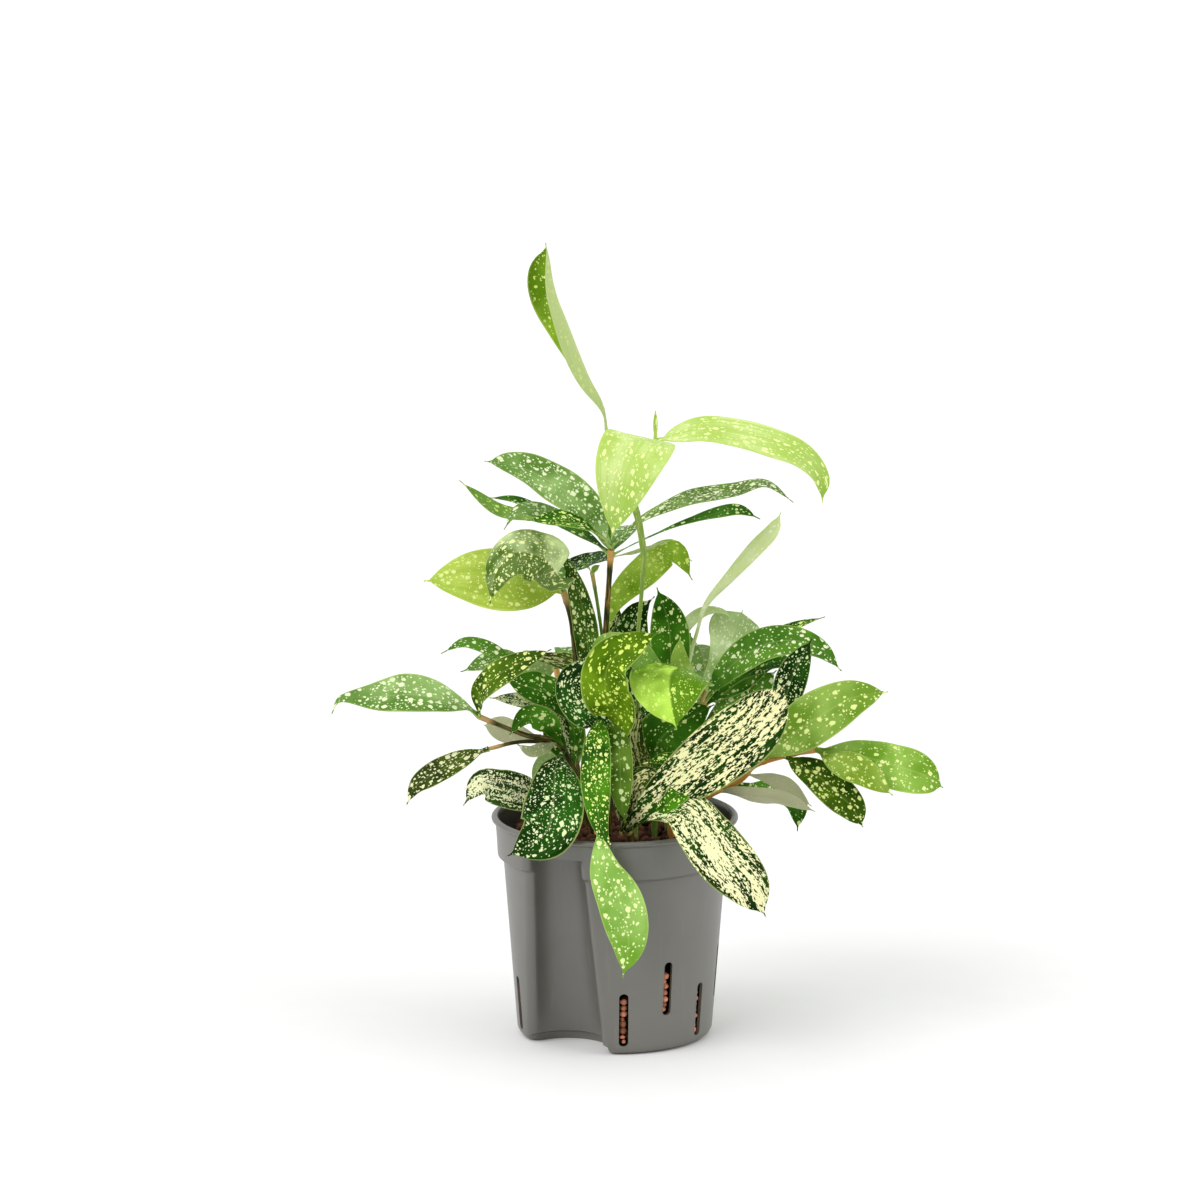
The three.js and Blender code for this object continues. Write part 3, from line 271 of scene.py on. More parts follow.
# Each shoot: its canes as points with a radius (across, depth, up, radius), and its leaves.
SHOOTS = {
    "main_shoot": ([
        stem(-3, 6, 1.7, [(-5, 6, 178, 1.6), (-5, 6, 210, 1.5), (-3, 5, 243, 1.4), (-2, 4, 259, 1.6)]),
        [(-2, 4, 259, 1.5), (-3, 8, 282, 1.1), (-4, 8, 303, 1), (-4, 8, 321, 0.9)],
        [(-5, 6, 183, 1.1), (-6, 15, 203, 0.9), (-9, 19, 226, 0.9), (-12, 19, 244, 1)],
    ], [
        leaf("top_leaf", "top", 32, [(-4, 8, 319), (-6, 8, 334), (-14, 8, 350), (-25, 8, 378), (-33, 8, 399),
            (-36, 8, 421)], (-1, 0.35, 0), (-0.8, -0.62, 0), curl=80, wave=0, widest=0.64, point=0.6),
        leaf("crown_left_high", "painted_sheen", 25, [(-2, 4, 260), (-11, 2, 279), (-30, 0, 294), (-51, -3, 305),
            (-68, -5, 308)], (-0.3, -0.75, 0.7), (0, -0.6, 1), wave=0.7, widest=0.55, point=0.8),
        leaf("crown_left_near", "bright", 19, [(-2, 4, 260), (-12, -8, 273), (-28, -15, 279),
            (-46, -18, 279)], (0, -0.35, 1)),
        leaf("crown_left_bent", "painted_sheen", 14, [(-2, 4, 260), (-14, 7, 270), (-33, 4, 278), (-50, 0, 281),
            (-58, -2, 271)], (0, -0.1, 1), (-1, -0.5, 0.3), curl=8, widest=0.6),
        leaf("crown_left_far", "dark", 13, [(-2, 4, 257), (-20, 20, 266), (-37, 26, 274), (-54, 28, 281),
            (-67, 28, 282)], (0, -0.05, 1), (0, -0.3, 1)),
        leaf("crown_left_thin", "pale_green", 15, [(-2, 4, 256), (-19, 26, 265), (-37, 36, 269),
            (-61, 40, 272), (-82, 40, 289)], (0, -0.1, 1), (-0.2, -0.3, 1), curl=20, wave=0, widest=0.62),
        leaf("crown_left_low", "dark_spotted", 15, [(-2, 4, 254), (-14, 23, 249), (-27, 36, 246)],
            (0, -0.7, 0.8), wave=0.6),
        leaf("crown_right_high", "mottled", 17, [(-2, 4, 261), (14, 14, 273), (39, 22, 283), (63, 26, 286),
            (79, 26, 290), (94, 25, 280)], (0, -0.12, 1), (0.3, -0.3, 1), curl=6, wave=0.6, widest=0.55),
        leaf("crown_right_low", "dark", 10, [(-2, 4, 256), (16, 4, 265), (39, 6, 274), (64, 6, 280),
            (76, 6, 275)], (0, 0.08, 1), (0.2, -0.6, 0.9), curl=8, wave=0.4, widest=0.72),
        leaf("crown_right_back", "pale", 16, [(-2, 4, 255), (13, 30, 253), (28, 46, 252), (41, 52, 243)],
            (0, 0.8, 1), wave=0.4),
        leaf("crown_back", "spotted", 24, [(-2, 4, 256), (0, 40, 261), (1, 68, 258), (2, 92, 243)],
            (0, 0.1, 1), (0, 1, 0.4), wave=0.6),
        leaf("mid_right", "limespot", 17, [(-5, 6, 207), (-1, 21, 225), (14, 33, 240), (31, 38, 251),
            (41, 36, 236)], (-0.4, -0.8, 0.5), (0.4, -0.8, 0.4), wave=0.6, widest=0.56),
        leaf("bud_left", "lime", 4, [(-12, 19, 243), (-14, 17, 247), (-17, 16, 249)], (0, -0.4, 1), wave=0),
        leaf("bud_right", "lime", 4, [(-12, 19, 243), (-10, 21, 246), (-8, 22, 247)], (0, -0.4, 1), wave=0),
    ]),
    "lime_shoot": ([
        stem(11, -4, 1.3, [(12, -6, 159, 1), (12, -8, 213, 1), (14, -9, 240, 1.1), (15, -10, 258, 1.5),
            (13, -11, 274, 1.8), (10, -12, 291, 1.7), (15, -12, 309, 1.4), (21, -12, 320, 1.5)]),
    ], [
        leaf("lime_front", "lime", 37, [(21, -12, 320), (17, -32, 325), (12, -52, 326), (6, -63, 316),
            (-2, -62, 278)], (0, -0.5, 1), (0, -1, 0.15), curl=5, widest=0.42, point=1.15),
        leaf("lime_right", "lime", 25, [(21, -12, 320), (44, -10, 325), (72, -8, 321), (97, -8, 311),
            (107, -10, 300), (108, -12, 287)], (0, -0.45, 1), (0.5, -0.5, 0.7), curl=8, wave=0.6,
            widest=0.42, point=0.65),
        leaf("lime_spear", "lime", 2.8, [(21, -12, 320), (21, -12, 328), (21, -12, 336)], (0, -1, 0),
            curl=60, wave=0),
        leaf("lime_back", "lime", 28, [(20, -12, 319), (17, 18, 309), (12, 44, 296), (10, 58, 277)],
            (0, -0.1, 1), (0, 1, 0.3), curl=14),
    ]),
    "left_shoot": ([
        stem(-14, 14, 1.7, [(-18, 14, 171, 1.6), (-21, 13, 203, 1.5), (-23, 12, 220, 1.4),
            (-27, 10, 236, 1.6)]),
    ], [
        leaf("left_lime", "lime_broad", 33, [(-27, 10, 235), (-44, 0, 241), (-72, -4, 246), (-100, -4, 244)],
            (0, -0.9, 0.5), (0, -1, 0.3), curl=-8, wave=0.9, widest=0.45, point=1.05),
        leaf("left_over", "painted_sheen_and_shade", 30, [(-27, 10, 236), (-30, -8, 248), (-38, -20, 260),
            (-52, -27, 264), (-61, -29, 256), (-65, -28, 237)], (-0.1, -0.8, 0.75), (-0.6, -0.8, 0.3),
            curl=-30, widest=0.48),
        leaf("left_strap", "strap", 14, [(-18, 14, 170), (-14, 4, 203), (-18, 0, 233), (-28, -2, 262)],
            (-0.2, -1, 0.1), (-0.5, -1, 0.2), curl=16, wave=0.4),
        leaf("left_streaked", "streaked", 14, [(-18, 14, 171), (-12, 16, 186), (-23, 16, 195),
            (-45, 10, 200)], (0, -0.5, 0.9), widest=0.6),
        leaf("left_back", "spotted", 26, [(-27, 10, 236), (-35, 43, 244), (-44, 66, 241), (-51, 86, 223)],
            (0, 0, 1), (0, 1, 0.4), curl=12, wave=0.6),
    ]),
    "spear_shoot": ([
        stem(28, 18, 1.5, [(34, 22, 153, 1.4), (38, 22, 192, 1.4)]),
    ], [
        leaf("spear", "spear", 10.5, [(38, 22, 192), (43, 21, 210), (48, 20, 226), (61, 18, 242),
            (75, 16, 258), (83, 15, 267), (87, 14, 277)], (0, -1, 0.2), (0.2, -1, 0.2), curl=-70, wave=0,
            widest=0.76, point=0.5),
        leaf("spear_arch", "pale", 11, [(36, 22, 174), (33, 40, 203), (46, 46, 216), (58, 48, 216),
            (65, 48, 207)], (0, 0.15, 1), (0.5, -0.2, 1), wave=0.4, widest=0.6),
        leaf("spear_grey", "grey", 27, [(36, 22, 174), (53, 42, 187), (60, 48, 197), (63, 52, 204),
            (68, 54, 216)], (0.1, -1, 0.3), curl=12, wave=0.6, widest=0.82, point=0.4),
        leaf("spear_dark", "dark", 21, [(35, 22, 160), (30, 12, 195), (28, 10, 219), (22, 8, 238)],
            (0, -1, 0.2), curl=12, widest=0.6, point=0.9),
        leaf("spear_low", "painted_sheen", 15, [(36, 22, 167), (40, 32, 189), (40, 34, 208)], (0.1, -1, 0.2),
            curl=14, wave=0.4),
        leaf("cane_behind_right", "dark_spotted", 21, [(33, 21, 142), (9, 26, 198), (11, 28, 218),
            (21, 28, 229)], (-0.1, -1, 0.3), curl=14, widest=0.6, point=0.9),
        leaf("cane_behind_left", "variegated", 15, [(32, 21, 137), (4, 26, 184), (1, 29, 213), (0, 29, 231)],
            (-0.1, -1, 0.2), curl=14),
    ]),
    "left_branch": ([
        stem(-12, 0, 1.6, [(-19, -4, 137, 1.5), (-31, -10, 159, 1.5), (-46, -12, 163, 1.3),
            (-58, -14, 168, 1.2), (-71, -16, 174, 1.3)]),
        [(-31, -10, 159, 1.2), (-50, -14, 160, 1), (-66, -17, 157, 0.9)],
    ], [
        leaf("far_left", "painted_sheen", 25, [(-71, -16, 174), (-78, -18, 180), (-101, -22, 187), (-127, -22, 186),
            (-144, -20, 184), (-148, -18, 176)], (-0.1, -0.6, 1), (-0.3, -0.8, 0.6), wave=0.8, widest=0.4,
            point=1.7),
        leaf("left_curl", "olive", 16, [(-71, -16, 174), (-71, -26, 188), (-63, -34, 199), (-50, -36, 207),
            (-33, -34, 214)], (-0.5, -0.8, 0.5), (0, -0.8, 0.7), widest=0.45),
        leaf("left_mid_high", "spotted", 10, [(-30, -10, 158), (-45, -4, 185), (-60, -6, 204),
            (-78, -8, 212), (-91, -8, 206)], (0, -0.5, 1), (-0.2, -0.6, 1), widest=0.66),
        leaf("left_mid_low", "painted_sheen", 14, [(-30, -10, 158), (-42, 4, 183), (-59, 4, 200), (-81, 2, 194)],
            (-0.1, -0.7, 0.8), widest=0.66),
        leaf("left_deep_dark", "dark", 21, [(-22, -6, 145), (-20, 2, 168), (-30, -2, 181), (-43, -10, 188),
            (-58, -14, 193)], (0, -0.8, 0.7), curl=12, widest=0.66),
        leaf("left_edge_strip", "variegated", 16, [(-22, -6, 145), (-30, 6, 170), (-48, 2, 178),
            (-66, -2, 181)], (0, -0.3, 1), curl=8, widest=0.66),
        leaf("left_small_dark", "dark", 13, [(-28, -9, 156), (-35, -18, 171), (-46, -24, 176),
            (-55, -28, 167)], (-0.2, -0.9, 0.6), (-0.6, -0.8, 0.2), wave=0.4),
        leaf("left_small_under", "under", 15, [(-39, -11, 162), (-54, 0, 162), (-69, 8, 164)], (0, 1, 0.2),
            curl=8, wave=0.4, widest=0.6, point=0.7),
        leaf("left_drop", "under", 7, [(-31, -10, 159), (-37, -19, 158), (-44, -23, 157), (-51, -24, 161)],
            (-0.1, -0.9, 0.5), wave=0.3),
        leaf("left_inner", "dark", 22, [(-21, -5, 142), (-26, 8, 157), (-31, 13, 168), (-39, 13, 164)],
            (-0.1, -1, 0.4), curl=12),
        leaf("low_left", "creamspot", 14, [(-66, -17, 157), (-78, -19, 153), (-92, -21, 146),
            (-104, -21, 138), (-109, -21, 128)], (-0.2, -0.7, 0.7), (-0.5, -0.8, 0.2), curl=8, wave=0.6,
            widest=0.46),
        leaf("low_left_front", "variegated", 20, [(-20, -5, 140), (-40, -24, 134), (-59, -34, 140),
            (-70, -38, 143), (-79, -40, 132)], (-0.1, -0.8, 0.6), (-0.5, -0.8, 0.1), curl=8, wave=0.6,
            widest=0.56),
        leaf("rim_left", "dark_spotted", 33, [(-27, -9, 154), (-31, -34, 151), (-32, -52, 138),
            (-36, -67, 124), (-56, -74, 113)], (-0.1, -1, 0.4), (-0.2, -1, 0.1), curl=-12, wave=0.8,
            widest=0.56),
    ]),
    "front_shoot": ([
        stem(-5, -14, 1.6, [(-6, -18, 140, 1.5), (-7, -22, 177, 1.5)]),
        [(-5, -16, 117, 1.4), (-8, -38, 121, 1.5), (-9, -57, 122, 1.7)],
    ], [
        leaf("front_long", "bright", 16, [(-7, -22, 177), (-9, -42, 170), (-10, -55, 147), (-7, -67, 126),
            (-1, -73, 117)], (-0.1, -0.9, 0.4), (0, -1, 0.1), curl=-10, wave=0.6, widest=0.46),
        leaf("front_half", "half", 14, [(-7, -22, 177), (1, -35, 169), (3, -50, 144), (5, -55, 126)],
            (0.15, -1, 0.2), curl=-12, wave=0.4),
        leaf("rim_front", "fresh", 24, [(-9, -57, 122), (-8, -69, 121), (-5, -79, 107), (3, -82, 90),
            (7, -81, 69), (4, -77, 49)], (0, -0.9, 0.6), (0, -1, 0.05), curl=-12, wave=0.7, widest=0.55),
        leaf("front_dark_left", "dark_spotted", 19, [(-6, -19, 146), (-8, -28, 174), (-18, -31, 182),
            (-22, -32, 195), (-14, -30, 204), (-6, -28, 209)], (-0.3, -1, 0.2), curl=12, widest=0.6),
        leaf("front_lime", "olive_lime", 26, [(-7, -20, 156), (2, -33, 175), (-5, -46, 195), (-3, -49, 210),
            (9, -51, 220), (23, -46, 226)], (-0.5, -0.9, 0.2), (0, -0.9, 0.6), curl=12, point=0.9),
    ]),
    "centre_shoot": ([
        stem(21, 2, 1.6, [(26, 2, 147, 1.5), (45, 0, 179, 1.3), (48, -2, 185, 1.3)]),
    ], [
        leaf("centre_lime", "folded_lime", 46, [(48, -2, 185), (40, -14, 197), (32, -32, 204),
            (28, -47, 201), (29, -56, 190), (32, -60, 177)], (-0.2, -0.4, 1), (-0.1, -1, 0.2), curl=-24,
            point=0.9),
        leaf("centre_star", "lime", 11, [(45, 0, 179), (34, -16, 203), (34, -22, 218)], (0, -1, 0.3),
            wave=0.3),
        leaf("centre_fold", "pale_green", 16, [(45, 0, 179), (20, -26, 202), (7, -32, 215), (-6, -34, 218),
            (-14, -36, 206)], (-0.1, -0.8, 0.7), curl=-10, wave=0.4),
        leaf("centre_dark", "dark", 28, [(23, 2, 130), (23, -17, 161), (36, -18, 172), (52, -18, 181)],
            (0, -1, 0.3), curl=14),
        leaf("centre_streaked", "streaked", 13, [(23, 2, 125), (10, -18, 159), (13, -14, 179)], (0, -1, 0.2),
            curl=14, wave=0.3),
    ]),
    "variegated_shoot": ([
        stem(8, -20, 1.8, [(7, -23, 113, 1.8), (4, -28, 115, 1.7)]),
    ], [
        leaf("cream_broad", "cream", 34, [(4, -28, 115), (10, -42, 125), (23, -50, 139), (39, -53, 152),
            (55, -56, 165), (71, -57, 178), (83, -54, 192), (89, -52, 200)], (0, -1, 0.25), (0.1, -1, 0.15),
            curl=12, wave=0.8, widest=0.64, point=0.6),
        leaf("cream_hanging", "cream_light", 31, [(4, -28, 115), (19, -44, 131), (36, -60, 136),
            (46, -76, 128), (57, -88, 115), (69, -93, 102), (78, -92, 85)], (0.2, -0.7, 0.9), (0.3, -1, 0.1),
            curl=-12, wave=0.8, widest=0.6, point=0.6),
        leaf("olive_small", "streaked", 16, [(4, -28, 115), (5, -39, 133), (10, -43, 145), (18, -45, 150),
            (23, -45, 145)], (-0.3, -0.9, 0.2), curl=-14, wave=0.4),
        leaf("bright_tip", "bright", 13, [(5, -26, 114), (30, -56, 139), (39, -38, 149), (27, -42, 157),
            (14, -47, 156)], (0, -0.9, 0.5), (-0.2, -0.8, 0.5), wave=0.3, widest=0.62),
    ]),
    "right_branch": ([
        stem(30, -2, 1.8, [(45, -3, 126, 1.7), (67, -4, 138, 1.6), (73, -5, 145, 1.7), (97, -8, 153, 1.5),
            (105, -10, 155, 1.7)]),
        [(105, -10, 156, 0.7), (107, -12, 163, 0.5), (112, -13, 169, 0.5), (118, -13, 168, 0.4)],
    ], [
        leaf("right_light", "grey_green", 28, [(78, -6, 148), (89, -11, 160), (105, -16, 173),
            (125, -15, 184), (143, -10, 186)], (0.1, -0.9, 0.5), (0.1, -0.8, 0.6), curl=12, wave=0.8,
            widest=0.46, point=0.9),
        leaf("right_end", "pale_spotted", 27, [(105, -10, 155), (124, -15, 154), (145, -19, 149),
            (163, -20, 143), (172, -17, 136)], (0, -0.8, 0.6), (0.2, -0.7, 0.7), curl=-10, wave=0.6,
            widest=0.6, point=0.55),
        leaf("right_end_near", "olive_green", 16, [(105, -10, 155), (117, -24, 152), (131, -32, 147),
            (145, -34, 136)], (0, -0.9, 0.5), curl=-8, wave=0.4),
        leaf("right_drop", "olive", 19, [(89, -7, 151), (96, -14, 148), (106, -18, 143), (117, -22, 134),
            (124, -23, 127), (130, -22, 116)], (0.2, -0.9, 0.4), (0.2, -1, 0.1), widest=0.52, point=0.7),
        leaf("right_under", "under", 21, [(55, -3, 131), (68, -12, 131), (85, -18, 131), (105, -20, 124)],
            (0, 0.8, 1), curl=6, wave=0.4, widest=0.42),
        leaf("right_under_thin", "under", 14, [(69, -4, 140), (81, 6, 136), (93, 12, 128), (104, 12, 119)],
            (0, 0.8, 1), curl=6, wave=0.3),
        leaf("right_bright_tip", "dark", 12, [(63, -4, 135), (83, 20, 127), (96, 26, 118), (97, 26, 102)],
            (0, -0.9, 0.4), curl=8, wave=0.3, widest=0.66),
    ]),
    "right_shoot": ([
        stem(33, 30, 1.7, [(42, 26, 141, 1.5), (47, 14, 176, 1.4)]),
        [(42, 26, 141, 1.2), (63, 8, 149, 1.1), (77, 4, 148, 1.1)],
    ], [
        leaf("right_high", "spotted", 19, [(47, 14, 176), (59, 8, 194), (77, 2, 208), (93, 2, 211),
            (108, 3, 206), (119, 4, 194)], (0, -0.7, 0.7), (0.3, -0.8, 0.5), curl=8, wave=0.6, widest=0.45,
            point=0.9),
        leaf("right_high_back", "bright", 14, [(47, 14, 175), (72, 30, 199), (95, 30, 212), (111, 28, 218)],
            (0, -0.3, 1), curl=12, wave=0.3),
        leaf("right_shade", "dark", 20, [(46, 15, 172), (63, 16, 184), (83, 14, 197), (97, 10, 194)],
            (0, -0.5, 0.9), curl=12),
        leaf("right_shade_low", "spotted", 20, [(45, 20, 161), (66, 10, 175), (85, 6, 194)], (0, -0.9, 0.4),
            wave=0.4),
        leaf("right_up", "dark_spotted", 17, [(77, 4, 148), (87, -2, 173), (94, -8, 196), (103, -12, 215)],
            (-0.2, -1, 0.1), curl=14, widest=0.6),
    ]),
    "back_left_shoot": ([
        stem(-16, 36, 1.6, [(-23, 42, 148, 1.5), (-29, 48, 174, 1.4), (-31, 50, 185, 1.4)]),
    ], [
        leaf("back_left_out", "spotted", 24, [(-31, 50, 185), (-35, 76, 187), (-40, 100, 177),
            (-43, 114, 158)], (0, 0.1, 1), (0, 1, 0.5), curl=12, wave=0.6, widest=0.52),
        leaf("back_left_up", "spotted", 24, [(-31, 50, 185), (-23, 80, 190), (-16, 108, 180),
            (-13, 128, 159)], (0, 0.1, 1), (0, 1, 0.5), curl=12, wave=0.6, widest=0.52),
        leaf("back_left_in", "dark_spotted", 22, [(-29, 48, 174), (-9, 78, 168), (2, 104, 154),
            (4, 116, 136)], (0, 0.2, 1), (0, 1, 0.5), curl=12, wave=0.6, widest=0.52),
        leaf("back_left_low", "dark_spotted", 24, [(-23, 42, 148), (-28, 74, 134), (-35, 98, 113),
            (-37, 106, 93)], (0, 0.3, 1), (0, 1, 0.3), curl=-10, wave=0.6, widest=0.52),
    ]),
    "back_right_shoot": ([
        stem(18, 34, 1.6, [(20, 40, 149, 1.5), (19, 46, 174, 1.4), (18, 50, 189, 1.4)]),
    ], [
        leaf("back_right_up", "spotted", 24, [(18, 50, 189), (14, 80, 194), (10, 108, 183), (7, 126, 160)],
            (0, 0.1, 1), (0, 1, 0.5), curl=12, wave=0.6, widest=0.52),
        leaf("back_right_out", "spotted", 24, [(18, 50, 189), (35, 76, 190), (47, 102, 177), (53, 118, 157)],
            (0, 0.1, 1), (0, 1, 0.5), curl=12, wave=0.6, widest=0.52),
        leaf("back_right_side", "cream", 24, [(19, 46, 174), (40, 72, 170), (61, 96, 158), (70, 108, 138)],
            (0, 0.2, 1), (0.3, 1, 0.5), curl=12, wave=0.6, widest=0.52),
        leaf("back_right_low", "dark_spotted", 24, [(20, 40, 149), (40, 70, 140), (51, 96, 122),
            (54, 108, 102)], (0, 0.3, 1), (0.2, 1, 0.4), curl=-10, wave=0.6, widest=0.52),
        leaf("back_right_mid", "variegated", 23, [(20, 40, 149), (14, 74, 143), (11, 102, 127),
            (10, 116, 105)], (0, 0.3, 1), (0, 1, 0.4), curl=-10, wave=0.6, widest=0.52),
    ]),
}


def style(base, deep, spot, **rest):
    """A kind of foliage: its two greens and its spots as seen on a screen, and what else sets it apart."""
    return {"base": base, "deep": deep, "spot": spot, **rest}


# The rest may be the share of the large and of the small cells that hold a spot, the cells' size and
# stretch along the leaf, the cream share, the strength of the bands, the painted shade on one half, the
# gloss, and the colours of the underside and the tip.
FOLIAGE = {
    "top": style((146, 182, 48), (96, 136, 14), (226, 238, 140), big=0.4, under=(184, 202, 134)),
    "spotted": style((102, 152, 48), (60, 112, 20), (242, 248, 200), big=0.75),
    "mottled": style((134, 166, 86), (76, 114, 34), (246, 250, 212), big=1.2, small=0.9, size=2.8,
        stretch=1.8),
    "dark": style((76, 136, 28), (32, 82, 2), (224, 240, 158), big=0.5, small=0.3),
    "strap": style((84, 124, 30), (26, 66, 2), (234, 242, 172), big=0.85, small=0.6, size=3, stretch=1.6),
    "dark_spotted": style((38, 94, 14), (6, 42, 0), (232, 246, 186), big=0.7, small=0.6, size=3),
    "half": style((106, 140, 46), (58, 94, 10), (202, 224, 150), big=0.75),
    # The sheen kinds' pale, greyish greens are a painted sheen of light on the wax; the shaded one also has
    # painted shade on its inner half.
    "painted_sheen": style((156, 192, 112), (90, 132, 46), (240, 250, 204), big=0.9, small=0.55, size=3.8,
        gloss=0.24),
    "painted_sheen_and_shade": style((220, 240, 176), (70, 104, 6), (236, 244, 170), big=0.85, small=0.6, size=3,
        gloss=0.24, shade=-0.85),
    "lime": style((212, 232, 150), (176, 208, 96), (238, 250, 168), big=0.65, size=2.8, stretch=1.9,
        bands=0.7, under=YOUNG_UNDER, tip=(138, 178, 54)),
    "lime_broad": style((192, 214, 94), (158, 186, 58), (232, 242, 148), big=0.6, size=2.8, bands=0.6,
        under=YOUNG_UNDER, tip=(172, 204, 84)),
    "limespot": style((184, 218, 84), (112, 156, 18), (232, 246, 138), big=0.6, size=3, under=YOUNG_UNDER),
    "folded_lime": style((206, 250, 98), (72, 120, 0), (214, 240, 118), big=0.45, size=2.8,
        under=YOUNG_UNDER, shade=-0.9, gloss=0.24, tip=(186, 232, 84)),
    "olive_lime": style((118, 156, 22), (54, 90, 0), (222, 246, 112), big=0.85, size=3, stretch=1.5,
        under=YOUNG_UNDER),
    "bright": style((78, 140, 16), (24, 78, 0), (234, 252, 148), big=0.95, small=0.65, size=3.2,
        under=YOUNG_UNDER),
    "fresh": style((164, 206, 106), (116, 166, 58), (242, 253, 180), big=0.8, size=3.8, under=YOUNG_UNDER,
        tip=(104, 160, 18)),
    "pale_spotted": style((158, 198, 90), (104, 150, 32), (236, 246, 164), big=0.6, under=YOUNG_UNDER),
    "pale_green": style((142, 178, 88), (102, 146, 50), (212, 230, 132), big=0.35, under=YOUNG_UNDER),
    "pale": style((196, 212, 160), (160, 184, 114), (222, 232, 178), big=0.2, under=(200, 214, 160)),
    "grey": style((214, 234, 176), (148, 180, 100), (242, 250, 216), big=0.95, small=0.6, stretch=1.6,
        tip=(190, 214, 148)),
    "grey_green": style((150, 184, 84), (106, 146, 38), (236, 246, 158), big=0.65, size=3.8),
    "olive": style((86, 122, 14), (26, 60, 0), (232, 240, 148), big=0.85, small=0.5),
    "olive_green": style((158, 188, 84), (120, 152, 42), (226, 240, 144), big=0.55),
    "creamspot": style((76, 96, 26), (28, 48, 4), (240, 240, 190), big=1.1, small=0.8, size=3, stretch=1.6),
    "spear": style((236, 244, 198), (210, 228, 154), (240, 246, 206), big=0.1, bands=0.4,
        under=(236, 244, 198)),
    "under": style((182, 186, 148), (142, 152, 104), (214, 216, 178), big=0.3, under=(186, 188, 148)),
    "variegated": style((44, 90, 16), (10, 44, 0), (242, 244, 194), cream=0.46),
    "streaked": style((84, 106, 28), (24, 48, 2), (214, 214, 148), cream=0.42, stretch=3),
    "cream": style((32, 78, 6), (4, 36, 0), (247, 245, 186), cream=0.48, stretch=3),
    "cream_light": style((40, 86, 10), (6, 42, 0), (248, 247, 192), cream=0.57, stretch=2.6),
}


def srgb(red, green, blue):
    """A colour read as 0 to 255 on a screen, as the linear values that a shader takes."""
    def linear(level):
        share = level / 255
        return share / 12.92 if share <= 0.04045 else ((share + 0.055) / 1.055) ** 2.4

    return (linear(red), linear(green), linear(blue), 1)


class Graph:
    """A material's nodes, with short calls to add and link them."""

    def __init__(self, name):
        self.material = bpy.data.materials.new(name)
        self.material.use_nodes = True
        self.nodes = self.material.node_tree.nodes
        self.shader = self.nodes["Principled BSDF"]

    def add(self, kind, inputs=None, **settings):
        node = self.nodes.new("ShaderNode" + kind)
        for key, value in settings.items():
            setattr(node, key, value)
        for key, value in (inputs or {}).items():
            self.put(node.inputs[key], value)
        return node

    def put(self, socket, value):
        if isinstance(value, bpy.types.NodeSocket):
            self.material.node_tree.links.new(value, socket)
        else:
            socket.default_value = value

    def math(self, operation, *values, kind="Math"):
        node = self.add(kind, operation=operation)
        for socket, value in zip(node.inputs, values):
            self.put(socket, value)
        return node.outputs[0]

    def times(self, first, second):
        return self.math("MULTIPLY", first, second)

    def scaled(self, vector, factors):
        return self.math("MULTIPLY", vector, factors, kind="VectorMath")

    def axes(self, vector):
        return self.add("SeparateXYZ", {"Vector": vector}).outputs

    def attribute(self, name):
        return self.add("Attribute", attribute_name=name).outputs["Vector"]

    def noise(self, place, scale, detail=3, roughness=0.5, output="Fac"):
        settings = {"Vector": place, "Scale": scale, "Detail": detail, "Roughness": roughness}
        return self.add("TexNoise", settings).outputs[output]

    def spots(self, place, size, share, radii):
        """Scattered round spots: each cell of the given size may hold one, and each has its own radius."""
        smallest, largest = radii
        settings = {"Vector": place, "Scale": 1 / size}
        cells = self.add("TexVoronoi", settings, voronoi_dimensions="2D")
        chance, swell, _ = self.axes(cells.outputs["Color"])
        radius = self.math("MULTIPLY_ADD", self.math("POWER", swell, 2), largest - smallest, smallest)
        edge = self.times(radius, self.math("LESS_THAN", chance, share))
        return self.step(cells.outputs["Distance"], edge, self.math("SUBTRACT", edge, SPOT_SOFTNESS))

    def step(self, value, low, high):
        """0 below low and 1 above high, with a smooth change between them."""
        settings = {"Value": value, "From Min": low, "From Max": high}
        node = self.add("MapRange", settings, interpolation_type="SMOOTHSTEP")
        return node.outputs["Result"]

    def mix(self, share, first, second):
        node = self.add("Mix", data_type="RGBA", clamp_factor=True)
        self.put(node.inputs[0], share)
        self.put(node.inputs[6], first)
        self.put(node.inputs[7], second)
        return node.outputs[2]

    def tinted(self, colour, share, strength, tone):
        """The colour with a tone over it, as strongly as the share times the strength."""
        return self.mix(self.times(share, strength), colour, srgb(*tone))

    def bump(self, height, depth, strength):
        node = self.add("Bump", {"Height": height, "Distance": depth, "Strength": strength})
        self.put(self.shader.inputs["Normal"], node.outputs["Normal"])

    def finish(self, colour, roughness, specular=0.5):
        self.put(self.shader.inputs["Base Color"], colour)
        self.put(self.shader.inputs["Roughness"], roughness)
        self.shader.inputs["Specular IOR Level"].default_value = specular
        return self.material


def cream_patches(graph, place, side, cream, stretch):
    """Cream flecks in long streaks, fewer at the leaf's edge, over about the cream share of the leaf."""
    fleck_scales = (FLECK_SCALE, FLECK_SCALE / stretch, 1)
    streak_scales = (STREAK_SCALE, STREAK_SCALE / (STREAK_STRETCH * stretch), 1)
    flecks = graph.noise(graph.scaled(place, fleck_scales), 1, 2, 0.6)
    streaks = graph.noise(graph.scaled(place, streak_scales), 1, 2)
    level = graph.math("MULTIPLY_ADD", graph.math("SUBTRACT", streaks, 0.5), 0.8, flecks)
    level = graph.math("SUBTRACT", level, graph.times(graph.math("POWER", side, 3), 0.1))
    middle = 0.5 + (0.5 - cream) * 0.35
    return graph.step(level, middle - CREAM_SOFTNESS, middle + CREAM_SOFTNESS)


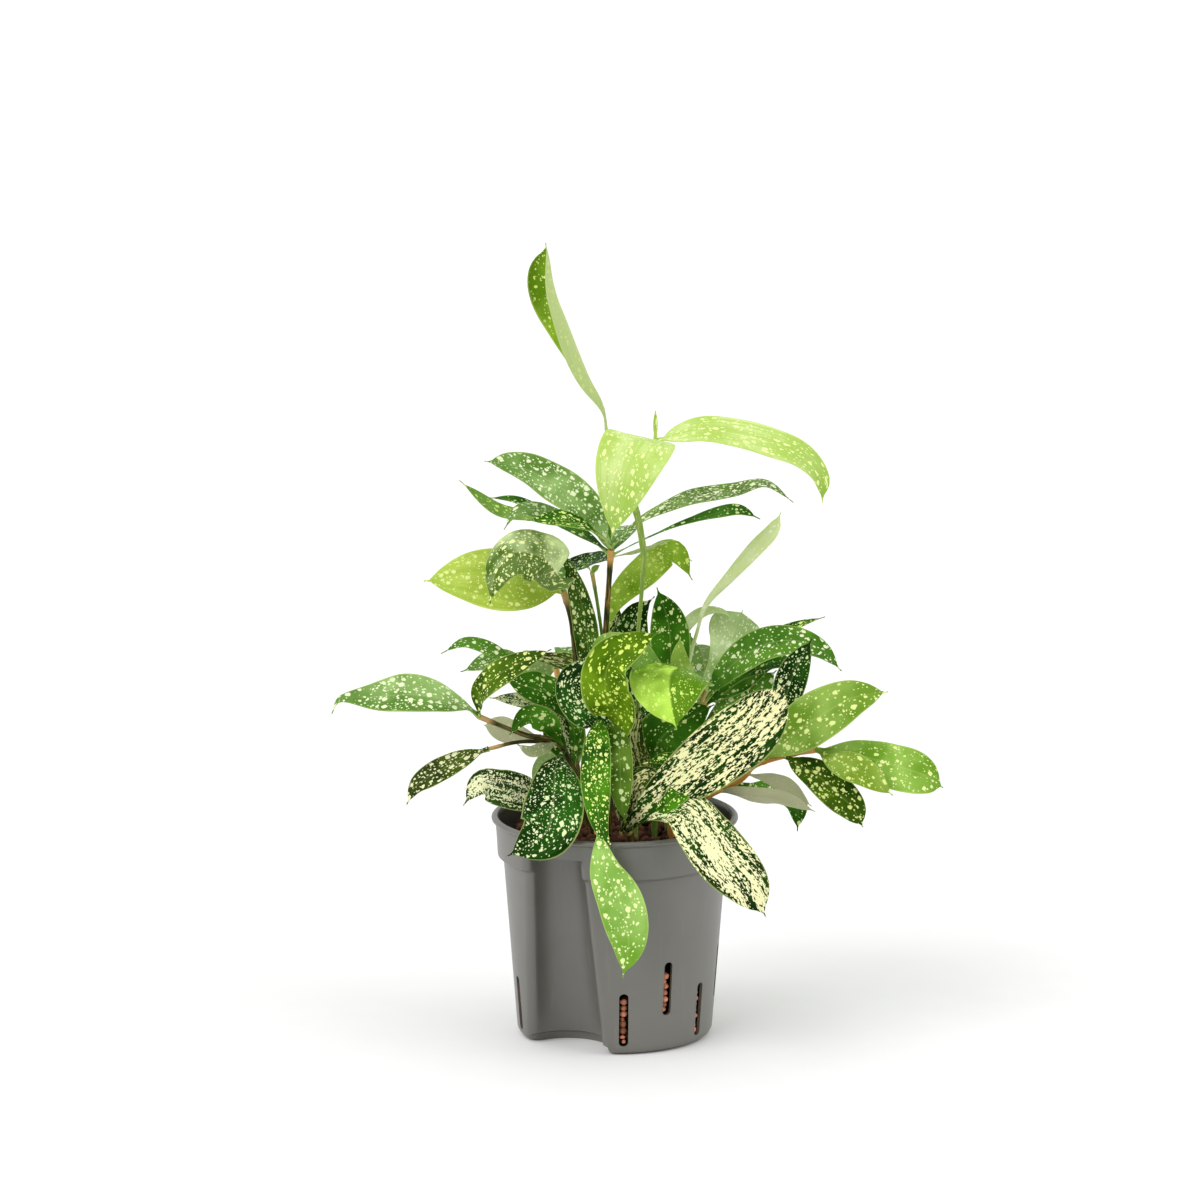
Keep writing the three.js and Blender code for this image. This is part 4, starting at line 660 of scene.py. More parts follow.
def foliage(kind, base, deep, spot, big=0.3, small=0.35, size=3.4, stretch=1.25, cream=0.0, bands=0.0,
            under=DARK_UNDER, gloss=0.33, shade=0.0, tip=None):
    """A waxy leaf: green that deepens to its tip, lengthwise veins, scattered spots, a paler underside.

    A shade over or under zero deepens one half or the other as painted shade, as on a leaf folded along its
    midrib with one half turned from the light.
    """
    graph = Graph("leaf_" + kind)
    place = graph.attribute("blade_mm")
    share = graph.attribute("blade_share")
    across, _, upper = graph.axes(share)
    side = graph.math("ABSOLUTE", across)
    fine = graph.noise(place, FINE_SCALE)

    wander = graph.noise(place, WANDER_SCALE, 2, output="Color")
    bent = graph.math("MULTIPLY_ADD", wander, (SPOT_WANDER,) * 3, place, kind="VectorMath")
    bent = graph.scaled(bent, (1, 1 / stretch, 1))
    crowd = graph.math("MULTIPLY_ADD", graph.noise(place, CROWD_SCALE, 2), CROWD_SPREAD, CROWD_SHIFT)
    large = graph.spots(bent, size, graph.times(crowd, big), LARGE_RADII)
    tiny = graph.spots(bent, size * SMALL_CELL, graph.times(crowd, small), SMALL_RADII)
    spots = graph.times(graph.math("MAXIMUM", large, tiny), graph.step(side, 1, 0.8))
    if cream:
        spots = graph.math("MAXIMUM", spots, cream_patches(graph, place, side, cream, stretch))

    drift = graph.noise(place, DRIFT_SCALE, 2)
    green = graph.mix(graph.step(drift, 0.32, 0.68), srgb(*deep), srgb(*base))
    if bands:
        band = graph.noise(graph.scaled(share, BAND_COUNT), 1, 2)
        green = graph.tinted(green, graph.step(band, 0.44, 0.6), bands, deep)
    ending = graph.axes(graph.attribute("blade_end"))[0]
    green = graph.tinted(green, ending, TIP_TINT, tip or deep)
    # Painted shade: one half of the blade is deepened towards the deep green, as the half turned from the
    # light.
    if shade:
        shade_edge = math.copysign(HALF_SHADE_SOFTNESS, shade)
        green = graph.tinted(green, graph.step(across, -shade_edge, shade_edge), abs(shade), deep)
    rib = graph.step(graph.noise(graph.scaled(share, RIB_COUNT), 1, 2), 0.5, 0.72)
    green = graph.tinted(green, rib, RIB_TINT, spot)
    green = graph.tinted(green, graph.step(side, 0.06, 0.015), MIDRIB_TINT, spot)

    top = graph.tinted(green, spots, SPOT_TINT, spot)
    top = graph.tinted(top, graph.step(side, 0.93, 0.99), MARGIN_TINT, MARGIN)
    back = graph.tinted(srgb(*under), spots, UNDER_SPOT_TINT, spot)
    back = graph.tinted(back, rib, UNDER_RIB_TINT, base)
    graph.bump(graph.math("ADD", graph.times(rib, 0.6), graph.times(fine, 0.35)), depth=0.0003, strength=0.5)
    rough = graph.math("MULTIPLY_ADD", fine, LEAF_ROUGHNESS_SPREAD, gloss)
    return graph.finish(graph.mix(upper, back, top), rough, specular=0.04)


def cane_bark(name, young, old, ring):
    """A cane's bark: lengthwise streaks between two colours, and tan sheaths at the nodes."""
    graph = Graph(name)
    place = graph.attribute("cane_mm")
    sheath = graph.axes(graph.attribute("cane_share"))[0]
    streak = graph.noise(graph.scaled(place, BARK_STREAKS), 1, 4, 0.6)
    speck = graph.noise(place, SPECK_SCALE)
    bark = graph.mix(graph.step(streak, 0.36, 0.56), srgb(*young), srgb(*old))
    colour = graph.mix(sheath, bark, graph.mix(speck, srgb(*ring), srgb(*SHEATH_TAN)))
    graph.bump(streak, depth=0.0004, strength=0.6)
    return graph.finish(colour, graph.math("MULTIPLY_ADD", speck, *BARK_ROUGHNESS), specular=0.1)


def pot_plastic():
    """Moulded grey plastic with a faint grain, scuffs and dust. Its inside is darkened above the granules as
    painted shade.
    """
    graph = Graph("pot_plastic")
    place = graph.add("TexCoord").outputs["Object"]
    cloud = graph.noise(place, CLOUD_SCALE, 4)
    grain = graph.noise(place, PLASTIC_GRAIN_SCALE, 2)
    streak = graph.noise(graph.scaled(place, SCUFF_SCALES), 1, 4, 0.6)
    greys = [srgb(*grey) for grey in PLASTIC]
    colour = graph.mix(graph.step(cloud, 0.3, 0.7), *greys)
    colour = graph.tinted(colour, graph.step(streak, 0.58, 0.8), 0.2, SCUFF)
    _, _, up = graph.axes(place)
    flat = graph.add("VectorMath", {"Vector": graph.scaled(place, (1, 1, 0))}, operation="LENGTH")
    # Painted shade: the inside wall above the granules is darkened, where shade falls inside the pot.
    middle = (COLLAR_RADIUS - WALL / 2) * MM
    inside = graph.step(flat.outputs["Value"], middle, middle - 0.3 * MM)
    above = graph.step(up, (CHANNEL_HEIGHT - INSIDE_SHADE_FADE) * MM, CHANNEL_HEIGHT * MM)
    colour = graph.tinted(colour, graph.times(inside, above), 0.8, INSIDE_SHADE)
    relief = graph.math("ADD", graph.times(grain, 0.5), graph.times(streak, 0.25))
    graph.bump(relief, depth=0.00012, strength=0.5)
    return graph.finish(colour, graph.math("MULTIPLY_ADD", cloud, *PLASTIC_ROUGHNESS), specular=1.0)


def fired_clay(name, light, dark):
    """Fired clay: a granule's tint, which is partly its own tone and partly painted light and shade, fine
    pores and a dry matte skin.
    """
    graph = Graph(name)
    place = graph.add("TexCoord").outputs["Object"]
    tint = graph.axes(graph.attribute("grain_tint_and_light"))[0]
    pores = graph.noise(place, PORE_SCALE, 4, 0.65)
    patch = graph.noise(place, PATCH_SCALE)
    colour = graph.mix(tint, srgb(*dark), srgb(*light))
    colour = graph.tinted(colour, graph.step(patch, 0.5, 0.75), 0.14, light)
    colour = graph.tinted(colour, graph.step(pores, 0.58, 0.8), 0.6, PORE)
    graph.bump(pores, depth=0.0005, strength=0.7)
    return graph.finish(colour, graph.math("MULTIPLY_ADD", patch, *CLAY_ROUGHNESS), specular=0.12)


def make_object(name, vertices, faces, material, replaced=()):
    """A smooth mesh object from points in millimetres, riding on the part's one body."""
    mesh = bpy.data.meshes.new(name)
    mesh.from_pydata((np.asarray(vertices, float) * MM).tolist(), [], [list(face) for face in faces])
    mesh.update()
    mesh.shade_smooth()
    mesh.set_sharp_from_angle(angle=SHARP_ANGLE)
    piece = bpy.data.objects.new(name, mesh)
    bpy.context.scene.collection.objects.link(piece)
    piece.data.materials.append(material)
    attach(piece, BODY)
    if replaced:
        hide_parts(*replaced)
    return piece


def store(piece, name, values):
    """Keeps a vector for each vertex, which the material reads."""
    attribute = piece.data.attributes.new(name, "FLOAT_VECTOR", "POINT")
    attribute.data.foreach_set("vector", np.asarray(values, np.float32).ravel())


def distances(points):
    """How far along a path each of its points lies."""
    return np.r_[0, np.cumsum(np.linalg.norm(np.diff(points, axis=0), axis=1))]


def spine(points, count):
    """Evenly spaced places on a centripetal Catmull-Rom curve through the points."""
    given = np.asarray(points, float)
    padded = np.vstack([2 * given[0] - given[1], given, 2 * given[-1] - given[-2]])
    curve = []
    for p0, p1, p2, p3 in zip(padded, padded[1:], padded[2:], padded[3:]):
        t1 = np.linalg.norm(p1 - p0) ** 0.5
        t2 = t1 + np.linalg.norm(p2 - p1) ** 0.5
        t3 = t2 + np.linalg.norm(p3 - p2) ** 0.5
        for t in np.linspace(t1, t2, 24, endpoint=False):
            a1 = ((t1 - t) * p0 + t * p1) / t1
            a2 = ((t2 - t) * p1 + (t - t1) * p2) / (t2 - t1)
            a3 = ((t3 - t) * p2 + (t - t2) * p3) / (t3 - t2)
            b1 = ((t2 - t) * a1 + t * a2) / t2
            b2 = ((t3 - t) * a2 + (t - t1) * a3) / (t3 - t1)
            curve.append(((t2 - t) * b1 + (t - t1) * b2) / (t2 - t1))
    curve = np.array([*curve, given[-1]])
    lengths = distances(curve)
    places = np.linspace(0, lengths[-1], count)
    even = np.stack([np.interp(places, lengths, column) for column in curve.T], -1)
    return even, lengths[-1]


def unit(vectors):
    return vectors / np.linalg.norm(vectors, axis=-1, keepdims=True)


def blade_share(along, widest, point):
    """Half the blade's width as a share of its greatest: it swells, narrows and ends in a drip tip."""
    blade = np.clip((along - PETIOLE_SHARE) / (1 - PETIOLE_SHARE), 0, 1)
    share = np.minimum(blade / BODY_SHARE, 1)
    peak = widest / BODY_SHARE
    swell = point * peak / (1 - peak)
    outline = share**swell * (1 - share) ** point / (peak**swell * (1 - peak) ** point)
    rise = np.clip((blade - 0.5) / (BODY_SHARE - 0.5), 0, 1)
    return outline + DRIP_WIDTH * rise**2 * (3 - 2 * rise) * np.minimum(1, (1 - blade) / DRIP_LENGTH)


def blade_grid(form, order, along, k):
    """The middle surface of a blade, its upward directions and its thickness, by rows and columns."""
    centre, length = spine(form["points"], len(along))
    ahead = unit(np.gradient(centre, axis=0))
    face, tip_face = unit(np.array(form["face"], float)), unit(np.array(form["tip_face"], float))
    up = face + (tip_face - face) * along[:, None]
    up = unit(up - (up * ahead).sum(-1, keepdims=True) * ahead)
    side = np.cross(ahead, up)
    width, curl, wave = form["width"], form["curl"], form["wave"]
    share = blade_share(along, form["widest"], form["point"])
    half = np.maximum(width / 2 * share, 1 - along + LEAST_HALF_WIDTH)
    ripple = wave * np.minimum(1, 2 * half / width)
    phase = 2 * math.pi * WAVE_CYCLES * along[:, None] + WAVE_SHIFT * (order + np.sign(k))
    crease = CREASE_DEPTH * np.exp(-((k / CREASE_WIDTH) ** 2)) * np.minimum(1, half / CREASE_FADE)[:, None]
    frill = FRILL_DEPTH * wave * np.abs(k) ** 3 * np.sin(FRILL_CYCLES * phase + order)
    lift = half[:, None] * (1 - np.cos(curl * k)) / curl + ripple[:, None] * k**2 * np.sin(phase)
    lift = lift + frill * np.minimum(1, half / FRILL_FADE)[:, None] - crease
    offset = half[:, None] * np.sin(curl * k) / curl
    grid = centre[:, None] + side[:, None] * offset[..., None] + up[:, None] * lift[..., None]
    petiole = np.maximum(0, 1 - along / PETIOLE_END)
    thickness = BLADE_THICKNESS + (PETIOLE_THICKNESS - BLADE_THICKNESS) * petiole
    thickness = thickness[:, None] * (1 - EDGE_THINNING * k**2 * (1 - petiole[:, None]))
    normal = up[:, None] * np.cos(curl * k)[None, :, None] - side[:, None] * np.sin(curl * k)[None, :, None]
    return grid, normal, thickness, half, length


def shell_faces(rows, columns):
    """The faces of a closed thin shell: an upper and a lower grid, and the strip that joins their edges."""
    under = rows * columns
    faces = []
    for row in range(rows - 1):
        for i in range(columns - 1):
            a = row * columns + i
            b = a + columns
            faces.append((a, a + 1, b + 1, b))
            faces.append((under + a, under + b, under + b + 1, under + a + 1))
        left = row * columns
        right = left + columns - 1
        faces.append((left, left + columns, under + left + columns, under + left))
        faces.append((right, under + right, under + right + columns, right + columns))
    for i in range(columns - 1):
        end = (rows - 1) * columns + i
        faces.append((i, under + i, under + i + 1, i + 1))
        faces.append((end, end + 1, under + end + 1, under + end))
    return faces


def blade_object(form, order, seed, replaced):
    """One leaf as a closed thin shell with an upper and a lower face."""
    along = np.linspace(0, 1, BLADE_ROWS)
    k = np.linspace(-1, 1, BLADE_COLUMNS + 1)
    grid, normal, thickness, half, length = blade_grid(form, order, along, k)
    rows, columns = grid.shape[:2]
    offset = normal * thickness[..., None] / 2
    vertices = np.concatenate([(grid + offset).reshape(-1, 3), (grid - offset).reshape(-1, 3)])
    material = FOLIAGE_MATERIALS[form["kind"]]
    piece = make_object(form["name"], vertices, shell_faces(rows, columns), material, replaced)
    across = np.tile(k, rows)
    down, zero = np.repeat(along, columns), np.zeros(rows * columns)
    place = np.column_stack([across * np.repeat(half, columns), down * length + PATTERN_STEP * seed, zero])
    ending = np.clip((down - TIP_START) / (TIP_END - TIP_START), 0, 1)
    ends = np.column_stack([ending, zero, zero])
    faced = [np.column_stack([across, down + seed, zero + upper]) for upper in (1, 0)]
    store(piece, "blade_mm", np.concatenate([place, place]))
    store(piece, "blade_share", np.concatenate(faced))
    store(piece, "blade_end", np.concatenate([ends, ends]))


def lofted(rings):
    """Vertices and faces of the closed skin through rings that have the same number of points."""
    count = len(rings[0])
    faces = [range(count - 1, -1, -1), range((len(rings) - 1) * count, len(rings) * count)]
    for row in range(len(rings) - 1):
        for i in range(count):
            a = row * count + i
            b = row * count + (i + 1) % count
            faces.append((a, b, b + count, a + count))
    return np.concatenate(rings), faces


def cane_object(name, points, material, seed):
    """One cane as a round tube that thickens at its nodes, with a sheath at its far end."""
    given = np.array(points, float)
    marks = distances(given[:, :3])
    rows = max(CANE_ROWS, int(marks[-1] / CANE_STEP))
    centre, length = spine(given[:, :3], rows)
    ahead = unit(np.gradient(centre, axis=0))
    travelled = np.linspace(0, 1, rows)
    radius = np.interp(travelled, marks / marks[-1], given[:, 3])
    distance = travelled * length
    from_node = (distance + NODE_SHIFT * seed) % NODE_STEP - NODE_STEP / 2
    knot = np.exp(-(from_node**2) / NODE_WIDTH)
    sheath = np.clip((distance - length + SHEATH_LENGTH) / SHEATH_RISE, 0, 1)
    radius = radius * (1 + NODE_SWELL * knot + SHEATH_SWELL * sheath)
    angles = 2 * math.pi * np.arange(CANE_SIDES) / CANE_SIDES
    rings, places = [], []
    side = np.array([1.0, 0, 0])
    for row in range(rows):
        side = unit(side - side @ ahead[row] * ahead[row])
        other = np.cross(ahead[row], side)
        x, y = radius[row] * np.cos(angles)[:, None], radius[row] * np.sin(angles)[:, None]
        rings.append(centre[row] + side * x + other * y)
        places.append(np.hstack([x, y, np.full_like(x, distance[row] + CANE_PATTERN_STEP * seed)]))
    vertices, faces = lofted(rings)
    piece = make_object(name, vertices, faces, material)
    shares = np.column_stack([sheath, knot, np.zeros(rows)])
    store(piece, "cane_mm", np.concatenate(places))
    store(piece, "cane_share", np.repeat(shares, CANE_SIDES, 0))


def arc(centre, radius, start, end, count):
    """Points on an arc, in the frame whose first axis runs through the channel."""
    angles = np.linspace(start, end, count)
    return np.stack([centre[0] + radius * np.cos(angles), centre[1] + radius * np.sin(angles)], -1)


def turn_to_channel(ring):
    """Turns points from the channel's frame to the part's frame."""
    outward = np.array([math.sin(CHANNEL_AZIMUTH), -math.cos(CHANNEL_AZIMUTH)])
    sideways = np.array([math.cos(CHANNEL_AZIMUTH), math.sin(CHANNEL_AZIMUTH)])
    return ring[:, :1] * outward + ring[:, 1:] * sideways


def channel_at(height):
    """How far the axis of the channel's scoop is from the pot's, and the scoop's radius."""
    share = height / CHANNEL_HEIGHT
    return [foot + (top - foot) * share for foot, top in (CHANNEL_REACH, CHANNEL_SCOOP)]


def pot_ring(radius, height, inset=0.0, scooped=True, notch=0.0):
    """A ring of the wall at a height. The channel is scooped out of it with rounded edges."""
    reach, scoop = channel_at(height)
    scoop += inset + notch
    fillet = CHANNEL_FILLET - min(inset, CHANNEL_FILLET - 1)
    inner, outer = radius - fillet, scoop + fillet
    x = (inner**2 - outer**2 + reach**2) / (2 * reach)
    y = math.sqrt(inner**2 - x**2)
    start, lean = math.atan2(y, x), math.atan2(y, reach - x)
    wall = arc((0, 0), radius, start, 2 * math.pi - start, 150)
    if scooped:
        low = arc((x, -y), fillet, -start, lean, 9)[1:]
        hollow = arc((reach, 0), scoop, lean - math.pi, -math.pi - lean, 34)[1:]
        high = arc((x, y), fillet, -lean, start, 9)[1:-1]
        ring = np.concatenate([wall, low, hollow, high])
    else:
        ring = np.concatenate([wall, arc((0, 0), radius, -start, start, 50)[1:-1]])
    flat = turn_to_channel(ring)
    return np.column_stack([flat, np.full(len(flat), height)])


def wall_radius(height):
    share = (height - CORNER_HEIGHT) / (SHOULDER_HEIGHT - CORNER_HEIGHT)
    return CORNER_RADIUS + (SHOULDER_RADIUS - CORNER_RADIUS) * share


def outer_rings():
    """The pot's outside from its base to the middle of its lip."""
    rings = []
    for angle in np.linspace(0, math.pi / 2, 7):
        radius = BASE_RADIUS + (CORNER_RADIUS - BASE_RADIUS) * math.sin(angle)
        height = CORNER_HEIGHT * (1 - math.cos(angle))
        rings.append(pot_ring(radius, height, notch=CHANNEL_NOTCH if height < NOTCH_HEIGHT else 0.0))
    for height in np.linspace(WALL_FOOT, SHOULDER_HEIGHT, 9):
        rings.append(pot_ring(wall_radius(height), height))
    step = COLLAR_RADIUS - COLLAR_ROUND - SHOULDER_RADIUS
    for share in SHOULDER_STEPS:
        rise = SHOULDER_RISE + (1 - SHOULDER_RISE) * share
        height = SHOULDER_HEIGHT + (COLLAR_FOOT - SHOULDER_HEIGHT) * rise
        rings.append(pot_ring(SHOULDER_RADIUS + step * share, height))
    rings.append(pot_ring(COLLAR_RADIUS - COLLAR_EDGE, COLLAR_FOOT + COLLAR_ROUND))
    rings.append(pot_ring(COLLAR_RADIUS - COLLAR_TAPER, CHANNEL_HEIGHT))
    rings.append(pot_ring(COLLAR_RADIUS - COLLAR_TAPER, CHANNEL_HEIGHT, scooped=False))
    rings.append(pot_ring(COLLAR_RADIUS, POT_HEIGHT - LIP_HEIGHT - COLLAR_TAPER, scooped=False))
    bead = (RIM_RADIUS - COLLAR_RADIUS + WALL) / 2
    for angle in np.linspace(BEAD_START, math.pi / 2, 8):
        radius = RIM_RADIUS - bead + bead * math.cos(angle)
        height = POT_HEIGHT - LIP_HEIGHT / 2 + LIP_HEIGHT / 2 * math.sin(angle)
        rings.append(pot_ring(radius, height, scooped=False))
    return rings


def inner_rings():
    """The pot's inside from its lip down to the floor."""
    top = COLLAR_RADIUS - WALL
    inner = top - COLLAR_INNER_TAPER
    rings = [pot_ring(top + outset, POT_HEIGHT - drop, scooped=False) for outset, drop in LIP_INSIDE]
    rings.append(pot_ring(inner, CHANNEL_HEIGHT + WALL, WALL, scooped=False))
    rings.append(pot_ring(inner, CHANNEL_HEIGHT + WALL, WALL))
    rings.append(pot_ring(top - COLLAR_ROUND, COLLAR_FOOT, WALL))
    for height in np.linspace(SHOULDER_HEIGHT, CORNER_HEIGHT, 9):
        rings.append(pot_ring(wall_radius(height) - WALL, height, WALL))
    rings.append(pot_ring(CORNER_RADIUS - 2 * WALL, FLOOR, WALL))
    return rings


def slot_places():
    """The azimuth and the bottom of each drainage slot."""
    return [(FIRST_SLOT + i * SLOT_STEP, SLOT_BOTTOMS[kind]) for i, kind in enumerate(SLOT_PATTERN)]


def outward(azimuth, radius, height):
    return np.array([math.sin(azimuth) * radius, -math.cos(azimuth) * radius, height])


def slot_cutter():
    """All the slots' openings as round-ended prisms that point away from the axis."""
    half = SLOT_WIDTH / 2
    vertices, faces = [], []
    for azimuth, bottom in slot_places():
        low = arc((0, bottom + half), half, math.pi, 2 * math.pi, 9)
        high = arc((0, bottom + SLOT_HEIGHT - half), half, 0, math.pi, 9)
        outline = np.concatenate([low, high])
        sideways = np.array([math.cos(azimuth), math.sin(azimuth), 0])
        rings = []
        for radius, flare in ((BASE_RADIUS - 2 * WALL, SLOT_FLARE), (RIM_RADIUS, 1)):
            rings.append([outward(azimuth, radius, z) + sideways * x * flare for x, z in outline])
        ring_vertices, ring_faces = lofted(rings)
        faces += [[len(vertices) + i for i in face] for face in ring_faces]
        vertices += list(ring_vertices)
    mesh = bpy.data.meshes.new("slot_cutter")
    mesh.from_pydata((np.array(vertices) * MM).tolist(), [], faces)
    cutter = bpy.data.objects.new("slot_cutter", mesh)
    bpy.context.scene.collection.objects.link(cutter)
    return cutter


def outwards(mesh):
    """Turns a closed mesh's faces outwards."""
    shape = bmesh.new()
    shape.from_mesh(mesh)
    bmesh.ops.recalc_face_normals(shape, faces=shape.faces)
    shape.to_mesh(mesh)
    shape.free()


def make_pot():
    """The pot with its collar, channel, rounded lip and slots."""
    vertices, faces = lofted(outer_rings() + inner_rings())
    pot = make_object("pot_shell", vertices, faces, pot_plastic(), ("pot",))
    outwards(pot.data)
    cutter = slot_cutter()
    outwards(cutter.data)
    cut = pot.modifiers.new("slots", "BOOLEAN")
    cut.operation = "DIFFERENCE"
    cut.object = cutter
    cut.solver = "EXACT"
    shaped = bpy.data.meshes.new_from_object(pot.evaluated_get(bpy.context.evaluated_depsgraph_get()))
    pot.modifiers.clear()
    pot.data = shaped
    shaped.name = "pot_shell"
    shaped.shade_smooth()
    shaped.set_sharp_from_angle(angle=POT_SHARP_ANGLE)
    bpy.data.objects.remove(cutter)


def clear_of_channel(place, margin):
    """Whether a place is outside the channel's space, grown by a margin."""
    height = place[2]
    reach, scoop = channel_at(height)
    distance = np.linalg.norm(place - outward(CHANNEL_AZIMUTH, reach, height))
    return height > CHANNEL_HEIGHT + margin or distance > scoop + margin


def top_grains(draw):
    """The granules on top, round the canes: where each lies, its radius and how light it is, kept dark as
    painted shade.
    """
    grains = []
    reach = COLLAR_RADIUS - 2 * WALL
    feet = [np.array(canes[0][0][:2], float) for canes, _ in SHOOTS.values()]
    count = int(reach / GRAIN_STEP) + 1
    for row in range(-count, count + 1):
        for column in range(-count, count + 1):
            radius = draw.uniform(*GRAIN_RADII)
            x = (column + 0.5 * (row % 2)) * GRAIN_STEP + draw.uniform(*GRAIN_SHIFT)
            y = row * GRAIN_STEP * GRAIN_ROW + draw.uniform(*GRAIN_SHIFT)
            place = np.array([x, y, SOIL_TOP + draw.uniform(*GRAIN_RISE)])
            room = 0.75 * radius + CANE_ROOM
            free = all(np.linalg.norm(place[:2] - foot) > room for foot in feet)
            inside = math.hypot(x, y) + radius < reach
            if inside and free and clear_of_channel(place, WALL + radius):
                grains.append((place, radius, draw.uniform(*TOP_SHADED_TINTS)))
    return grains


def slot_grains(draw):
    """The granules in each slot: an irregular stack of small ones in light tints as painted light, with
    larger ones behind it in dark tints as painted shade.
    """
    grains = []
    for azimuth, bottom in slot_places():
        height = bottom + 1
        while height < bottom + SLOT_FILL * SLOT_HEIGHT:
            radius = draw.uniform(*SLOT_GRAIN_RADII)
            height += 0.9 * radius
            room = max(0, SLOT_WIDTH / 2 - radius)
            depth = wall_radius(height) - radius - draw.uniform(*SLOT_GRAIN_DEPTHS)
            turn = azimuth + draw.choice((-1, 1)) * draw.uniform(*SLOT_GRAIN_SIDES) * room / depth
            grains.append((outward(turn, depth, height), radius, draw.uniform(*SLOT_LIT_TINTS)))
            turn = azimuth + draw.uniform(*BEHIND_SIDES) / depth
            behind = outward(turn, depth - BEHIND_DEPTH - radius, height)
            grains.append((behind, draw.uniform(*GRAIN_RADII), draw.uniform(*TOP_SHADED_TINTS)))
            height += draw.uniform(*SLOT_GRAIN_RISE) * radius
    return grains


def make_granulate():
    """A dark core below the surface as painted shade for the granules further down, and separate granules
    where they show.
    """
    draw = random.Random(SEED)
    shape = bmesh.new()
    bmesh.ops.create_icosphere(shape, subdivisions=2, radius=1)
    ball = np.array([vertex.co[:] for vertex in shape.verts])
    triangles = np.array([[vertex.index for vertex in face.verts] for face in shape.faces])
    shape.free()
    vertices, faces, tints = [], [], []
    for place, radius, tint in top_grains(draw) + slot_grains(draw):
        stretch = np.array([draw.uniform(*limits) for limits in GRAIN_STRETCH])
        lobes = np.array([draw.uniform(*GRAIN_LOBES) for _ in range(3)])
        phases = np.array([draw.uniform(*LOBE_PHASES) for _ in range(3)])
        bumps = 1 + LOBE_DEPTH * np.sin(ball * lobes + phases).sum(-1, keepdims=True)
        faces.append(triangles + len(ball) * len(vertices))
        vertices.append(ball * bumps * stretch * radius + place)
        tints.append(np.tile([tint, draw.random(), 0], (len(ball), 1)))
    clay = fired_clay("clay_granules", *GRAIN_CLAY)
    vertices, faces = np.concatenate(vertices), np.concatenate(faces)
    grains = make_object("granulate_grains", vertices, faces, clay, ("granulate",))
    store(grains, "grain_tint_and_light", np.concatenate(tints))
    inset = WALL + CORE_INSET
    rings = [pot_ring(CORNER_RADIUS - inset, FLOOR + 1.5, inset)]
    for height in np.linspace(CORNER_HEIGHT + 2, SHOULDER_HEIGHT, 6):
        rings.append(pot_ring(wall_radius(height) - inset, height, inset))
    rings.append(pot_ring(COLLAR_RADIUS - inset, SOIL_TOP - CORE_DROP, inset))
    vertices, faces = lofted(rings)
    make_object("granulate_core", vertices, faces, fired_clay("clay_core_shade", *CORE_SHADE_CLAY))


# Each bark: its two streak colours and the colour of its sheaths.
BARKS = {
    "dark": ((158, 124, 66), (40, 52, 20), (228, 156, 66)),
    "lime": ((158, 176, 94), (118, 148, 62), (176, 196, 120)),
    "green": ((122, 158, 66), (92, 132, 48), (190, 176, 104)),
    "brown": ((118, 108, 56), (50, 48, 24), (186, 146, 80)),
    "tan": ((206, 166, 92), (184, 124, 58), (228, 158, 84)),
    "withered": ((226, 204, 156), (196, 160, 112), (216, 180, 130)),
}

# The finish slot of each shoot and the bark of each of its canes.
SHOOT_FINISH = {
    "main_shoot": ("dark_foliage", "dark", "green", "green"),
    "lime_shoot": ("young_foliage", "lime"),
    "left_shoot": ("dark_foliage", "brown"),
    "spear_shoot": ("pale_foliage", "lime"),
    "left_branch": ("dark_foliage", "brown", "brown"),
    "front_shoot": ("fresh_foliage", "green", "tan"),
    "centre_shoot": ("fresh_foliage", "green"),
    "variegated_shoot": ("cream_foliage", "brown"),
    "right_branch": ("fresh_foliage", "tan", "withered"),
    "right_shoot": ("dark_foliage", "dark", "green"),
    "back_left_shoot": ("dark_foliage", "dark"),
    "back_right_shoot": ("dark_foliage", "dark"),
}


def make_shoots():
    """Every shoot: its canes, and each leaf as a piece of its own."""
    seed = 0
    for shoot, (canes, leaves) in SHOOTS.items():
        slot, *barks = SHOOT_FINISH[shoot]
        for number, (points, bark) in enumerate(zip(canes, barks)):
            seed += 1
            cane_object(f"{shoot}_cane_{number}", points, BARK_MATERIALS[bark], seed)
        for order, form in enumerate(leaves):
            seed += 1
            blade_object(form, order, seed, (shoot,) if order == 0 else ())


def make_lights():
    """Broad even lights from the upper left and right, with soft shadows as of large softboxes."""
    for name, (source, energy) in LIGHTS.items():
        light = bpy.data.lights.new(name, "SUN")
        light.energy = energy
        light.angle = LIGHT_SPREAD
        lamp = bpy.data.objects.new(name, light)
        bpy.context.scene.collection.objects.link(lamp)
        lamp.location = source
        lamp.rotation_euler = (-Vector(source)).to_track_quat("-Z", "Y").to_euler()


